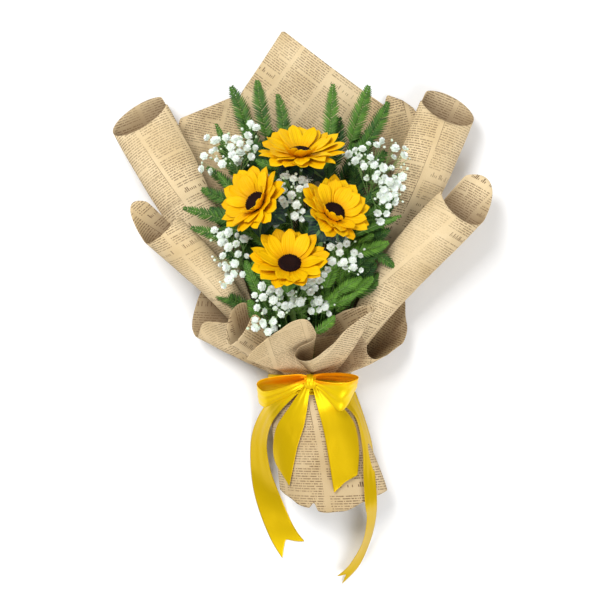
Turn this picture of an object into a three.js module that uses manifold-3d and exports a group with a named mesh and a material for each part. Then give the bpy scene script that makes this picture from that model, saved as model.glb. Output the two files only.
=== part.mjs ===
// A tied bunch of four small sunflowers with fern and baby's breath, wrapped in printed kraft
// paper and tied with a satin bow. It lies on its back on a flat surface.
//
// Millimetres. +X is to the right of the bunch seen from above, +Y runs from the stems to the
// blooms, +Z is up. The origin is the middle of the flat spot of the back sheet, on the surface.
import * as THREE from 'three';
import * as BufferGeometryUtils from 'three/addons/utils/BufferGeometryUtils.js';
import Module from 'manifold-3d';

const wasm = await Module();
wasm.setup();

// ---------------------------------------------------------------- driving dimensions

const PAPER_THICKNESS = 0.8;
const BLADE_THICKNESS = 0.8;
const RIBBON_THICKNESS = 0.8;

const WAIST = { x: 12, y: -103, z: 34 }; // the middle of the tie
const WAIST_HALF_WIDTH = 51.5; // outside of the ribbon band
const WAIST_HALF_HEIGHT = 31.5;
const LAYER_STEP = 1.5; // one sheet and the gap under it, at the waist
const BAND_HALF_LENGTH = 12; // of the ribbon band, along the bunch
const GATHER_TOP = WAIST.y + BAND_HALF_LENGTH + 1;
const GATHER_BOTTOM = WAIST.y - BAND_HALF_LENGTH - 1;

const STEM_FOCUS = new THREE.Vector3(12, -143, 12); // every stem points back to here
const STEM_LEAN = 24; // how far the cut ends stand to the right of the waist
const STEM_END_Y = -222;

const PETAL_WIDTH = 15.5;
const FLORET_RADIUS = 5.8;

const COLOURS = {
  petal: 0xffc400,
  disc: 0x2c1518,
  leaf: 0x2f6b2c,
  stem: 0x5d8a3a,
  floret: 0xeef1f4,
  paper: 0xd9c091,
  ribbon: 0xe3b400,
  twine: 0x9a7b4f,
};

// ---------------------------------------------------------------- small helpers

const bunch = new THREE.Group();

function point(x, y, z) {
  return new THREE.Vector3(x, y, z);
}

function lerp(a, b, t) {
  return a + (b - a) * t;
}

function radians(degrees) {
  return THREE.MathUtils.degToRad(degrees);
}

// A repeatable random number maker, so that every build gives the same leaves and petals.
function randomSource(seed) {
  let state = seed;
  return (low, high) => {
    state = (state * 1664525 + 1013904223) % 4294967296;
    return lerp(low, high, state / 4294967296);
  };
}

function finish(colour, roughness) {
  return new THREE.MeshStandardMaterial({ color: colour, roughness, metalness: 0 });
}

function addPiece(name, geometry, material) {
  const mesh = new THREE.Mesh(geometry, material);
  mesh.name = name;
  bunch.add(mesh);
  return mesh;
}

// A closed geometry from corner points and triangles, turned so that its faces point out.
function closedGeometry(corners, triangles) {
  const normal = new THREE.Vector3();
  let sixVolumes = 0;
  for (const [a, b, c] of triangles) {
    sixVolumes += corners[a].dot(normal.crossVectors(corners[b], corners[c]));
  }
  const index = triangles.flatMap(([a, b, c]) => (sixVolumes > 0 ? [a, b, c] : [a, c, b]));
  const geometry = new THREE.BufferGeometry();
  const positions = corners.flatMap((corner) => corner.toArray());
  geometry.setAttribute('position', new THREE.Float32BufferAttribute(positions, 3));
  geometry.setIndex(index);
  return geometry;
}

// A thin solid of even thickness round a surface of triangles that has an open edge.
function slab(corners, triangles, thickness) {
  const normals = corners.map(() => new THREE.Vector3());
  const edges = new Map();
  for (const triangle of triangles) {
    const [a, b, c] = triangle.map((corner) => corners[corner]);
    const faceNormal = b.clone().sub(a).cross(c.clone().sub(a));
    triangle.forEach((corner, k) => {
      normals[corner].add(faceNormal);
      edges.set(`${corner},${triangle[(k + 1) % 3]}`, [corner, triangle[(k + 1) % 3]]);
    });
  }
  normals.forEach((normal) => normal.setLength(thickness / 2));
  const upper = corners.map((corner, k) => corner.clone().add(normals[k]));
  const lower = corners.map((corner, k) => corner.clone().sub(normals[k]));
  const count = corners.length;
  const faces = [];
  for (const [a, b, c] of triangles) {
    faces.push([a, b, c], [a + count, c + count, b + count]);
  }
  for (const [a, b] of edges.values()) {
    if (edges.has(`${b},${a}`)) continue;
    faces.push([a + count, b + count, b], [a + count, b, a]);
  }
  return closedGeometry([...upper, ...lower], faces);
}

// A sheet from rows of points. Where `closed` is set, each row is a ring.
function sheet(rows, thickness, closed = false) {
  const columns = rows[0].length;
  const corners = rows.flat();
  const triangles = [];
  for (let row = 0; row + 1 < rows.length; row += 1) {
    for (let column = 0; column < (closed ? columns : columns - 1); column += 1) {
      const next = (column + 1) % columns;
      const a = row * columns + column;
      const b = row * columns + next;
      const c = (row + 1) * columns + next;
      const d = (row + 1) * columns + column;
      triangles.push([a, b, c], [a, c, d]);
    }
  }
  return slab(corners, triangles, thickness);
}

function polygonShape(radius, sides) {
  const corners = Array.from({ length: sides }, (_, k) => {
    const turn = (k / sides) * 2 * Math.PI;
    return new THREE.Vector2(radius * Math.cos(turn), radius * Math.sin(turn));
  });
  return new THREE.Shape(corners);
}

function rod(route, radius, steps, sides) {
  const extrudePath = new THREE.CatmullRomCurve3(route, false, 'centripetal');
  return new THREE.ExtrudeGeometry(polygonShape(radius, sides), {
    steps,
    extrudePath,
    bevelEnabled: false,
  });
}

function asManifold(geometry) {
  const bare = geometry.clone();
  bare.deleteAttribute('normal');
  bare.deleteAttribute('uv');
  const merged = BufferGeometryUtils.mergeVertices(bare, 1e-4);
  return new wasm.Manifold(
    new wasm.Mesh({
      numProp: 3,
      vertProperties: merged.attributes.position.array,
      triVerts: Uint32Array.from(merged.index.array),
    }),
  );
}

// Small edges left by a join are taken out below this size.
const JOIN_TOLERANCE = 0.08;

// One body from overlapping solids. A pocket that the join seals in is filled.
function joined(geometries) {
  const solid = geometries.map(asManifold).reduce((whole, next) => whole.add(next));
  const bodies = solid.simplify(JOIN_TOLERANCE).decompose();
  const [largest] = bodies.sort((a, b) => b.volume() - a.volume());
  const mesh = largest.getMesh();
  const geometry = new THREE.BufferGeometry();
  geometry.setAttribute('position', new THREE.BufferAttribute(mesh.vertProperties, 3));
  geometry.setIndex(new THREE.BufferAttribute(mesh.triVerts, 1));
  return geometry;
}

// ---------------------------------------------------------------- stems

// Where the straight line from the stems' focus to a place crosses the waist.
function waistSlot(target) {
  const t = (WAIST.y - STEM_FOCUS.y) / (target.y - STEM_FOCUS.y);
  return STEM_FOCUS.clone().lerp(target, t);
}

// The route of a stem: its cut end in the skirt, the waist, then straight to its target.
function stemRoute(target) {
  const slot = waistSlot(target);
  const cutEnd = point(slot.x + STEM_LEAN, STEM_END_Y, slot.z);
  const inBand = point(slot.x, WAIST.y - BAND_HALF_LENGTH, slot.z);
  return [cutEnd, inBand, slot, target];
}

// ---------------------------------------------------------------- sunflowers

const SUNFLOWERS = [
  { centre: [3, 174, 118], lean: [0, 1], tilt: 60, cup: 12, reach: 50 },
  { centre: [-49, 114, 132], lean: [-0.6, 0.8], tilt: 44, cup: 20, reach: 48 },
  { centre: [42, 103, 136], lean: [0.6, 0.8], tilt: 37, cup: 24, reach: 46 },
  { centre: [-10, 40, 150], lean: [0.05, 1], tilt: 41, cup: 19, reach: 44 },
];

const OUTER_PETALS = 11;
const INNER_PETALS = 6;
const RECEPTACLE_RADIUS = 12.4;

const PETAL_ROOT = { out: 10.4, half: 2 };
const PETAL_NECK = { out: 17, half: 4.9, height: 0.9 };
const PETAL_BELLY_SHARE = 0.6; // of the way from the neck to the point

// One petal: a shallow trough, narrow where it is rooted, with its long sides at two heights so
// that it overlaps its neighbour without touching it.
function petal(turn, reach, cup, width, shingle, rootHeight) {
  const rise = Math.tan(radians(cup));
  const belly = lerp(PETAL_NECK.out, reach, PETAL_BELLY_SHARE);
  const height = (out) => PETAL_NECK.height + rootHeight + (out - PETAL_NECK.out) * rise;
  const edge = shingle / 2;
  const corners = [
    [PETAL_ROOT.out, -PETAL_ROOT.half, rootHeight - edge * 0.3],
    [PETAL_ROOT.out, PETAL_ROOT.half, rootHeight + edge * 0.3],
    [PETAL_NECK.out, -PETAL_NECK.half, height(PETAL_NECK.out) - edge * 0.7],
    [PETAL_NECK.out, 0, height(PETAL_NECK.out) - 0.5],
    [PETAL_NECK.out, PETAL_NECK.half, height(PETAL_NECK.out) + edge * 0.7],
    [belly, -width / 2, height(belly) - edge],
    [belly, 0, height(belly) - 1.4],
    [belly, width / 2, height(belly) + edge],
    [reach, 0, height(reach)],
  ].map((corner) => point(...corner).applyAxisAngle(point(0, 0, 1), turn));
  const triangles = [[0, 3, 2], [0, 1, 3], [1, 4, 3], [2, 3, 6], [2, 6, 5], [3, 4, 6], [4, 7, 6],
    [5, 6, 8], [6, 7, 8]].map(([a, b, c]) => [a, c, b]);
  return slab(corners, triangles, BLADE_THICKNESS);
}

function petals(reach, cup, seed) {
  const random = randomSource(seed);
  const receptacle = new THREE.LatheGeometry(
    [[0, -2.2], [RECEPTACLE_RADIUS, -2.2], [RECEPTACLE_RADIUS, 0.5], [0, 0.5]]
      .map(([r, z]) => new THREE.Vector2(r, z)),
    12,
  ).rotateX(Math.PI / 2);
  const solids = [receptacle];
  for (let k = 0; k < OUTER_PETALS; k += 1) {
    const turn = (k / OUTER_PETALS) * 2 * Math.PI + random(-0.06, 0.06);
    const length = reach * random(0.95, 1.03);
    solids.push(petal(turn, length, cup - 3 + random(-0.8, 0.8), PETAL_WIDTH, 2.6, -1.4));
  }
  for (let k = 0; k < INNER_PETALS; k += 1) {
    const turn = ((k + 0.5) / INNER_PETALS) * 2 * Math.PI + random(-0.08, 0.08);
    const length = reach * random(0.8, 0.88);
    solids.push(petal(turn, length, cup + 14 + random(-2, 2), PETAL_WIDTH - 2, 2.6, 0));
  }
  return joined(solids);
}

// The disc: a low dome whose florets stand up as rings of small bumps.
function disc() {
  const around = 14;
  const rings = [
    { radius: 11.8, height: 1.1, bump: 0 },
    { radius: 13, height: 3, bump: 0.5 },
    { radius: 10.6, height: 3.6, bump: 1.1 },
    { radius: 8, height: 3.5, bump: 0.9 },
    { radius: 5, height: 3.1, bump: 0.8 },
    { radius: 2.2, height: 3.2, bump: 0.5 },
  ];
  const corners = [point(0, 0, 1.1)];
  rings.forEach(({ radius, height, bump }, ring) => {
    for (let k = 0; k < around; k += 1) {
      const turn = (k / around) * 2 * Math.PI;
      const raised = (k + ring) % 2 === 0 ? bump : 0;
      corners.push(point(radius * Math.cos(turn), radius * Math.sin(turn), height + raised));
    }
  });
  corners.push(point(0, 0, 3.4));
  const triangles = [];
  for (let k = 0; k < around; k += 1) {
    const next = (k + 1) % around;
    triangles.push([0, 1 + next, 1 + k]);
    for (let ring = 0; ring + 1 < rings.length; ring += 1) {
      const a = 1 + ring * around;
      triangles.push([a + k, a + next, a + around + next], [a + k, a + around + next, a + around + k]);
    }
    const last = 1 + (rings.length - 1) * around;
    triangles.push([last + k, last + next, corners.length - 1]);
  }
  return closedGeometry(corners, triangles);
}

const BRACTS = 7;

// The green cup under a bloom, with its ring of pointed bracts.
function calyx() {
  const cup = new THREE.LatheGeometry(
    [[0, -13], [3.4, -12.5], [8, -7.5], [11, -2.8], [0, -2.6]].map(([r, z]) => new THREE.Vector2(r, z)),
    10,
  ).rotateX(Math.PI / 2);
  const bracts = Array.from({ length: BRACTS }, (_, k) => {
    const turn = (k / BRACTS) * 2 * Math.PI;
    const corners = [[6.5, -2.6, -5.4], [6.5, 2.6, -5.4], [15, -3.8, -3.2], [15, 3.8, -3.2],
      [24, 0, -3.8]].map((corner) => point(...corner).applyAxisAngle(point(0, 0, 1), turn));
    return slab(corners, [[0, 2, 3], [0, 3, 1], [2, 4, 3]], BLADE_THICKNESS);
  });
  return joined([cup, ...bracts]);
}

const STEM_RADIUS = 2.6;
const CALYX_FOOT = -11; // the stem starts here, inside the calyx
const NECK_LENGTH = 24; // of the straight stretch under the bloom

SUNFLOWERS.forEach(({ centre, lean, tilt, cup, reach }, k) => {
  const name = `sunflower_${k + 1}`;
  const place = point(...centre);
  const [leanX, leanY] = lean;
  const sine = Math.sin(radians(tilt)) / Math.hypot(leanX, leanY);
  const facing = point(leanX * sine, leanY * sine, Math.cos(radians(tilt)));
  const turn = new THREE.Quaternion().setFromUnitVectors(point(0, 0, 1), facing);

  const petalMesh = addPiece(`${name}_petals`, petals(reach, cup, 11 + k), finish(COLOURS.petal, 0.55));
  petalMesh.position.copy(place);
  petalMesh.quaternion.copy(turn);
  const discMesh = addPiece(`${name}_disc`, disc(), finish(COLOURS.disc, 0.85));
  discMesh.position.copy(place);
  discMesh.quaternion.copy(turn);

  const placement = new THREE.Matrix4().compose(place, turn, point(1, 1, 1));
  const foot = place.clone().addScaledVector(facing, CALYX_FOOT);
  const neck = place.clone().addScaledVector(facing, CALYX_FOOT - NECK_LENGTH);
  const stem = rod([...stemRoute(neck), foot], STEM_RADIUS, 10, 5);
  addPiece(`${name}_stem`, joined([calyx().applyMatrix4(placement), stem]), finish(COLOURS.stem, 0.6));
});

// ---------------------------------------------------------------- fern

const FRONDS = [
  { base: [-62, 196, 44], tip: [-84, 261, 38], half: 16, pairs: 8 },
  { base: [-40, 198, 56], tip: [-52, 267, 50], half: 15, pairs: 8 },
  { base: [-18, 186, 66], tip: [-27, 249, 58], half: 13, pairs: 8 },
  { base: [35, 192, 54], tip: [40, 262, 50], half: 14, pairs: 8 },
  { base: [62, 194, 44], tip: [84, 262, 38], half: 16, pairs: 8 },
  { base: [72, 180, 60], tip: [107, 240, 52], half: 15, pairs: 8 },
  { base: [-74, 92, 84], tip: [-139, 110, 80], half: 12, pairs: 8 },
  { base: [-70, 66, 92], tip: [-129, 86, 88], half: 12, pairs: 8 },
  { base: [-70, 112, 62], tip: [-118, 134, 64], half: 14, pairs: 7 },
  { base: [30, 126, 76], tip: [32, 184, 80], half: 12, pairs: 7 },
  { base: [-26, 120, 86], tip: [-36, 160, 90], half: 10, pairs: 6 },
  { base: [60, 78, 86], tip: [97, 108, 84], half: 14, pairs: 7 },
  { base: [56, 54, 98], tip: [86, 78, 98], half: 11, pairs: 6 },
  { base: [54, 2, 101], tip: [86, 26, 96], half: 12, pairs: 7 },
  { base: [30, -6, 107], tip: [68, 8, 106], half: 9, pairs: 6 },
  { base: [-47, 6, 102], tip: [-64, 46, 102], half: 11, pairs: 7 },
];

const RIB_HALF_WIDTH = 1.1;
const LEAFLET_SHARE = 0.72; // of the rib's pitch that a leaflet's root takes
const LEAFLET_SWEEP = 0.9; // how far a leaflet's point lies ahead of its root, in pitches

// A frond: one thin arched blade whose outline is cut to the rib between the leaflets.
function frond({ base, tip, half, pairs }, droop) {
  const from = point(...base);
  const to = point(...tip);
  const along = to.clone().sub(from);
  const side = point(-along.y, along.x, 0).normalize();
  const length = along.length();
  const place = (t, across) => {
    const spot = from.clone().addScaledVector(along, t).addScaledVector(side, across);
    spot.z += 4 * t * (1 - t) * length * 0.07 - (Math.abs(across) / half) ** 2 * droop;
    return spot;
  };
  const corners = [];
  const triangles = [];
  const pitch = 1 / (pairs + 0.5);
  for (let pair = 0; pair < pairs; pair += 1) {
    const start = pair * pitch;
    const end = start + pitch * LEAFLET_SHARE;
    const reach = half * Math.sin(Math.PI * (0.22 + 0.7 * (pair + 0.5) / pairs)) ** 0.8;
    const first = corners.length;
    for (const sign of [-1, 1]) {
      corners.push(
        place(start, sign * RIB_HALF_WIDTH),
        place(end, sign * RIB_HALF_WIDTH),
        place(start + pitch * LEAFLET_SWEEP, sign * reach),
      );
    }
    const [leftStart, leftEnd, leftPoint, rightStart, rightEnd, rightPoint] = [0, 1, 2, 3, 4, 5]
      .map((k) => first + k);
    triangles.push([leftStart, leftPoint, leftEnd], [rightStart, rightEnd, rightPoint]);
    triangles.push([leftStart, leftEnd, rightEnd], [leftStart, rightEnd, rightStart]);
    if (pair > 0) {
      const [lastLeft, lastRight] = [first - 5, first - 2];
      triangles.push([lastLeft, leftStart, rightStart], [lastLeft, rightStart, lastRight]);
    }
  }
  const [lastLeft, lastRight] = [corners.length - 5, corners.length - 2];
  corners.push(place(1, 0));
  triangles.push([lastLeft, corners.length - 1, lastRight]);
  return slab(corners, triangles.map(([a, b, c]) => [a, c, b]), BLADE_THICKNESS);
}

const FROND_STEM_RADIUS = 1.3;

FRONDS.forEach((shape, k) => {
  const base = point(...shape.base);
  const along = point(...shape.tip).sub(base).normalize();
  const inside = base.clone().addScaledVector(along, 4);
  const stem = rod([...stemRoute(base), inside], FROND_STEM_RADIUS, 7, 3);
  addPiece(`fern_${k + 1}`, joined([frond(shape, 3), stem]), finish(COLOURS.leaf, 0.6));
});

// ---------------------------------------------------------------- baby's breath

const SPRAYS = [
  {
    fork: [-76, 158, 86],
    florets: [[-114, 171, 96], [-117, 156, 94], [-101, 189, 98], [-88, 193, 92], [-82, 181, 100],
      [-71, 185, 104], [-62, 195, 96], [-76, 167, 106], [-58, 170, 98], [-92, 161, 104]],
  },
  {
    fork: [86, 136, 84],
    florets: [[58, 173, 96], [74, 179, 100], [83, 168, 108], [91, 184, 96], [98, 156, 108],
      [113, 180, 98], [123, 171, 102], [121, 146, 104], [105, 139, 110], [112, 125, 104],
      [98, 118, 108], [92, 103, 106], [89, 145, 104]],
  },
  {
    fork: [-11, 104, 108],
    florets: [[-19, 144, 126], [-8, 141, 132], [2, 140, 126], [0, 129, 134], [-10, 122, 130],
      [-18, 112, 128], [-4, 110, 136], [-6, 98, 130], [10, 142, 120]],
  },
  {
    fork: [-70, 44, 92],
    florets: [[-84, 80, 106], [-66, 72, 108], [-84, 62, 110], [-73, 54, 106], [-93, 68, 104],
      [-77, 43, 110], [-87, 38, 104], [-84, 24, 106]],
  },
  {
    fork: [44, 42, 112],
    florets: [[36, 62, 128], [44, 70, 126], [54, 66, 128], [46, 55, 136], [63, 55, 130],
      [37, 45, 134], [51, 44, 136], [62, 38, 130]],
  },
  {
    fork: [-20, -10, 113],
    florets: [[-44, 16, 124], [-24, 10, 134], [-43, 3, 126], [-50, -9, 122], [-31, 0, 132],
      [-11, 8, 138], [0, -2, 136], [-17, -7, 130], [12, 9, 136], [21, -1, 128],
      [29, -8, 124], [13, -13, 124]],
  },
  {
    bend: [-22, -36, 86],
    fork: [-34, -22, 118],
    florets: [[-43, -26, 132], [-31, -25, 136], [-22, -17, 132], [-52, -32, 134], [-37, -37, 140]],
  },
];

const SPRAY_STEM_RADIUS = 1;
const BRANCHING_LENGTH = 14; // of the top of the stem that the stalks leave from
const FLORET_VALLEY = 0.66; // of the radius, between two petals

// A double floret, a five-pointed star with a raised middle, on its own three-sided stalk.
function floretOnStalk(root, centre, facing, spin) {
  const turned = new THREE.Quaternion().setFromUnitVectors(point(0, 0, 1), facing);
  const local = (radius, turn, z) =>
    point(radius * Math.cos(turn), radius * Math.sin(turn), z).applyQuaternion(turned);
  const corners = [local(0, 0, 2.9).add(centre)];
  for (let k = 0; k < 10; k += 1) {
    const outer = k % 2 === 0;
    const radius = outer ? FLORET_RADIUS : FLORET_RADIUS * FLORET_VALLEY;
    corners.push(local(radius, spin + (k / 10) * 2 * Math.PI, outer ? 1.3 : -0.3).add(centre));
  }
  for (const [end, radius, z] of [[centre, 0.7, -2], [root, 0.7, 0]]) {
    for (let k = 0; k < 3; k += 1) {
      corners.push(local(radius, spin + ((k + 0.35) / 3) * 2 * Math.PI, z).add(end));
    }
  }
  const [rim, neck, foot] = [1, 11, 14];
  const triangles = [[foot, foot + 2, foot + 1]];
  const nearest = (k) => neck + Math.floor(((k % 10) * 3) / 10);
  for (let k = 0; k < 10; k += 1) {
    const next = (k + 1) % 10;
    triangles.push([0, rim + k, rim + next], [rim + next, rim + k, nearest(k)]);
    if (nearest(k) !== nearest(next)) triangles.push([rim + next, nearest(k), nearest(next)]);
  }
  for (let k = 0; k < 3; k += 1) {
    const next = (k + 1) % 3;
    triangles.push([foot + k, foot + next, neck + next], [foot + k, neck + next, neck + k]);
  }
  return closedGeometry(corners, triangles);
}

SPRAYS.forEach(({ bend, fork, florets }, k) => {
  const random = randomSource(201 + k);
  const top = point(...fork);
  const route = bend ? [...stemRoute(point(...bend)), top] : stemRoute(top);
  const solids = [rod(route, SPRAY_STEM_RADIUS, bend ? 8 : 6, 3)];
  const downward = route[route.length - 2].clone().sub(top).setLength(BRANCHING_LENGTH);
  florets.forEach((place, index) => {
    const centre = point(...place);
    const root = top.clone().addScaledVector(downward, (index + 0.3) / florets.length);
    const facing = centre.clone().sub(root).normalize().add(point(0, 0, 1.4)).normalize();
    solids.push(floretOnStalk(root, centre, facing, random(0, 1.2)));
  });
  addPiece(`babys_breath_${k + 1}`, joined(solids), finish(COLOURS.floret, 0.7));
});

// ---------------------------------------------------------------- paper

// A point on one of the nested layers at the waist. 90 degrees is the top, 180 the left.
function waistPoint(degrees, layer, y) {
  const inset = layer * LAYER_STEP + PAPER_THICKNESS / 2;
  return point(
    WAIST.x + (WAIST_HALF_WIDTH - inset) * Math.cos(radians(degrees)),
    y,
    WAIST.z + (WAIST_HALF_HEIGHT - inset) * Math.sin(radians(degrees)),
  );
}

// Layers at the waist, counted from the outside.
const BAND_LAYER = 0;
const SKIRT_LAYER = 1;
const COLLAR_LAYER = 2;
const LOWER_ROLL_LAYER = 3;
const UPPER_ROLL_LAYER = 4;

// A sheet that is gathered at the waist, at one angle for each point of its rim, and fans out
// to that rim. With a belly it is that much fuller half way.
function fan(rim, angles, layer, lengthSteps, belly = 0) {
  const gather = (y) => angles.map((degrees) => waistPoint(degrees, layer, y));
  const start = gather(GATHER_TOP);
  const rows = [gather(GATHER_BOTTOM), start];
  for (const t of lengthSteps) {
    const row = rim.map((end, k) => start[k].clone().lerp(end, t));
    const middle = row.reduce((sum, corner) => sum.add(corner), point(0, 0, 0)).divideScalar(row.length);
    const fullness = 1 + belly * Math.sin(Math.PI * t);
    rows.push(row.map((corner) => corner.sub(middle).multiplyScalar(fullness).add(middle)));
  }
  return sheet(rows, PAPER_THICKNESS);
}

// Angles along a gather, from stops of [how many points along, angle].
function gatherAngles(stops) {
  const angles = [stops[0][1]];
  for (let k = 1; k < stops.length; k += 1) {
    const [from, fromAngle] = stops[k - 1];
    const [to, toAngle] = stops[k];
    for (let step = from + 1; step <= to; step += 1) {
      angles.push(lerp(fromAngle, toAngle, (step - from) / (to - from)));
    }
  }
  return angles;
}

const paperFinish = finish(COLOURS.paper, 0.85);

// The mouth of a rolled sheet: an oval in a plane across the roll, cut back towards its front.
function mouth({ centre, axis, halfWidth, halfHeight, slant, flap, from, to, columns }) {
  const along = point(axis[0], axis[1], 0).normalize();
  const across = point(along.y, -along.x, 0);
  return Array.from({ length: columns }, (_, k) => {
    const degrees = lerp(from, to, k / (columns - 1));
    const turn = radians(degrees);
    const extra = flap ? flap.length * Math.max(0, Math.cos(radians(degrees - flap.at))) ** 2 : 0;
    return point(...centre)
      .addScaledVector(across, halfWidth * Math.cos(turn))
      .addScaledVector(along, -slant * Math.sin(turn) + extra)
      .add(point(0, 0, halfHeight * Math.sin(turn)));
  });
}

const ROLL_STEPS = [0.45, 0.75, 1];
const ROLL_BELLY = 0.3;
const ROLL_COLUMNS = 16;

const ROLLS = [
  {
    name: 'paper_left_upper_roll', layer: UPPER_ROLL_LAYER, arc: [146, 212],
    centre: [-197, 226, 38], axis: [-206, 319], halfWidth: 39, halfHeight: 22, slant: 17,
    from: 20, to: 336,
  },
  {
    name: 'paper_left_lower_roll', layer: LOWER_ROLL_LAYER, arc: [149, 190],
    centre: [-167, 87, 74], axis: [-176, 182], halfWidth: 26, halfHeight: 24, slant: 9,
    from: 20, to: 290, flap: { at: 258, length: 40 },
  },
  {
    name: 'paper_right_upper_roll', layer: UPPER_ROLL_LAYER, arc: [34, -32],
    centre: [181, 236, 38], axis: [176, 339], halfWidth: 36, halfHeight: 22, slant: 19,
    from: 160, to: -156,
  },
  {
    name: 'paper_right_lower_roll', layer: LOWER_ROLL_LAYER, arc: [60, -14],
    centre: [197, 117, 68], axis: [200, 212], halfWidth: 33, halfHeight: 27, slant: 20,
    from: 156, to: -128, flap: { at: 275, length: 26 },
  },
];

for (const roll of ROLLS) {
  const rim = mouth({ ...roll, columns: ROLL_COLUMNS });
  const angles = gatherAngles([[0, roll.arc[0]], [ROLL_COLUMNS - 1, roll.arc[1]]]);
  addPiece(roll.name, fan(rim, angles, roll.layer, ROLL_STEPS, ROLL_BELLY), paperFinish);
}

// The two side sheets behind the fern, and the square back sheet that the bunch lies on.
const BACK_LEFT_RIM = [[-152, 196, 9], [-146, 216, 9], [-132, 232, 9], [-112, 242, 8],
  [-88, 253, 6], [-74, 256, 5], [-64, 236, 4]];
const BACK_RIGHT_RIM = [[94, 214, 4], [103, 230, 5], [109, 257, 6], [128, 250, 8], [142, 240, 9],
  [152, 222, 9], [154, 196, 9]];

for (const [name, rim, from, to] of [
  ['paper_back_left', BACK_LEFT_RIM, 207, 252],
  ['paper_back_right', BACK_RIGHT_RIM, 288, 333],
]) {
  const angles = gatherAngles([[0, from], [rim.length - 1, to]]);
  addPiece(name, fan(rim.map((end) => point(...end)), angles, LOWER_ROLL_LAYER, [0.5, 1]), paperFinish);
}

// Each row of the back sheet: y, the left and right ends with their heights, and its middle's.
const BACK_SHEET_ROWS = [
  { y: -40, left: [-58, 20], right: [80, 20] },
  { y: 20, left: [-92, 15], right: [112, 15] },
  { y: 90, left: [-128, 8], right: [140, 8] },
  { y: 160, left: [-140, 3], right: [150, 3] },
  { y: 205, left: [-118, 0], right: [140, 0] },
  { y: 236, left: [-88, 0], right: [118, 0] },
  { y: 266, left: [-70, 0], right: [75, 0] },
  { y: 294, left: [-51, 0], right: [37, 0] },
  { y: 337, left: [-23, 0], right: [-19, 0] },
];
const BACK_SHEET_COLUMNS = 9;
const SHEET_MIDDLE = PAPER_THICKNESS / 2;

function backSheet() {
  const steps = Array.from({ length: BACK_SHEET_COLUMNS }, (_, k) => k / (BACK_SHEET_COLUMNS - 1));
  const gather = (y) => steps.map((s) => waistPoint(lerp(203, 337, s), COLLAR_LAYER, y));
  const rows = [gather(GATHER_BOTTOM), gather(GATHER_TOP)];
  for (const { y, left, right } of BACK_SHEET_ROWS) {
    rows.push(steps.map((s) => {
      const side = Math.max(0, Math.abs(2 * s - 1) - 0.5) / 0.5;
      const height = (s < 0.5 ? left[1] : right[1]) * side ** 2;
      return point(lerp(left[0], right[0], s), y, SHEET_MIDDLE + height);
    }));
  }
  return sheet(rows, PAPER_THICKNESS);
}

addPiece('paper_back_sheet', backSheet(), paperFinish);

// The ruffled collar in front: the rim of one long sheet, from the surface on the left over the
// top to the surface on the right, in five flutes.
const COLLAR_RIM = [
  [-122, 12, 22], [-132, -14, 24], [-134, -34, 30], [-127, -46, 42], [-117, -38, 54],
  [-104, -28, 64], [-90, -26, 74], [-76, -18, 83], [-64, -6, 90],
  [-68, -2, 98], [-78, -14, 109], [-86, -30, 117], [-85, -46, 119], [-78, -55, 119],
  [-68, -50, 118], [-58, -36, 118], [-48, -26, 119], [-40, -32, 122],
  [-44, -48, 130], [-46, -60, 136], [-36, -60, 137], [-22, -46, 139], [-8, -32, 141], [6, -24, 141],
  [14, -30, 139], [15, -46, 138], [16, -61, 137], [23, -68, 137],
  [36, -53, 136], [51, -38, 133], [66, -25, 129], [80, -17, 122], [87, -20, 113],
  [81, -34, 104], [76, -48, 97], [82, -62, 92], [92, -71, 84],
  [105, -67, 70], [117, -58, 56], [126, -50, 42], [132, -34, 30], [132, -14, 20],
];
const COLLAR_ARC = [194, -14]; // of the gather at the waist
const COLLAR_EVENNESS = 0.5; // 1 spaces the folds evenly round the waist, 0 leads them straight

// Where each point of the collar's rim is gathered.
function collarAngles() {
  return COLLAR_RIM.map(([x, , z], k) => {
    const own = (Math.atan2(z - WAIST.z, x - WAIST.x) * 180) / Math.PI;
    const outward = own < COLLAR_ARC[1] ? own + 360 : own;
    const even = lerp(...COLLAR_ARC, k / (COLLAR_RIM.length - 1));
    return lerp(outward, even, COLLAR_EVENNESS);
  });
}

addPiece(
  'paper_collar',
  fan(COLLAR_RIM.map((end) => point(...end)), collarAngles(), COLLAR_LAYER, [0.5, 1]),
  paperFinish,
);

// The skirt: a loose sleeve that widens from the waist and leans to the right.
const SKIRT_END_Y = -233;
const SKIRT_GROWTH = { halfWidth: 11, halfHeight: 4.5 };
const SKIRT_COLUMNS = 26;
const SKIRT_FLOOR = 0.4;

function skirtSection(y) {
  const t = Math.max(0, (GATHER_BOTTOM - y) / (GATHER_BOTTOM - SKIRT_END_Y));
  const halfHeight = WAIST_HALF_HEIGHT - LAYER_STEP + SKIRT_GROWTH.halfHeight * t;
  return {
    x: WAIST.x + STEM_LEAN * t,
    z: Math.max(WAIST.z, halfHeight + SKIRT_FLOOR),
    halfWidth: WAIST_HALF_WIDTH - LAYER_STEP + SKIRT_GROWTH.halfWidth * t ** 0.7,
    halfHeight,
  };
}

function skirtRing(y, ruffle) {
  const section = skirtSection(y);
  return Array.from({ length: SKIRT_COLUMNS }, (_, k) => {
    const turn = (k / SKIRT_COLUMNS) * 2 * Math.PI;
    const fold = 1 - ruffle * (1 + Math.cos(turn * 7 + 0.8)) / 2;
    return point(
      section.x + (section.halfWidth - PAPER_THICKNESS / 2) * fold * Math.cos(turn),
      y,
      section.z + (section.halfHeight - PAPER_THICKNESS / 2) * fold * Math.sin(turn),
    );
  });
}

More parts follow.
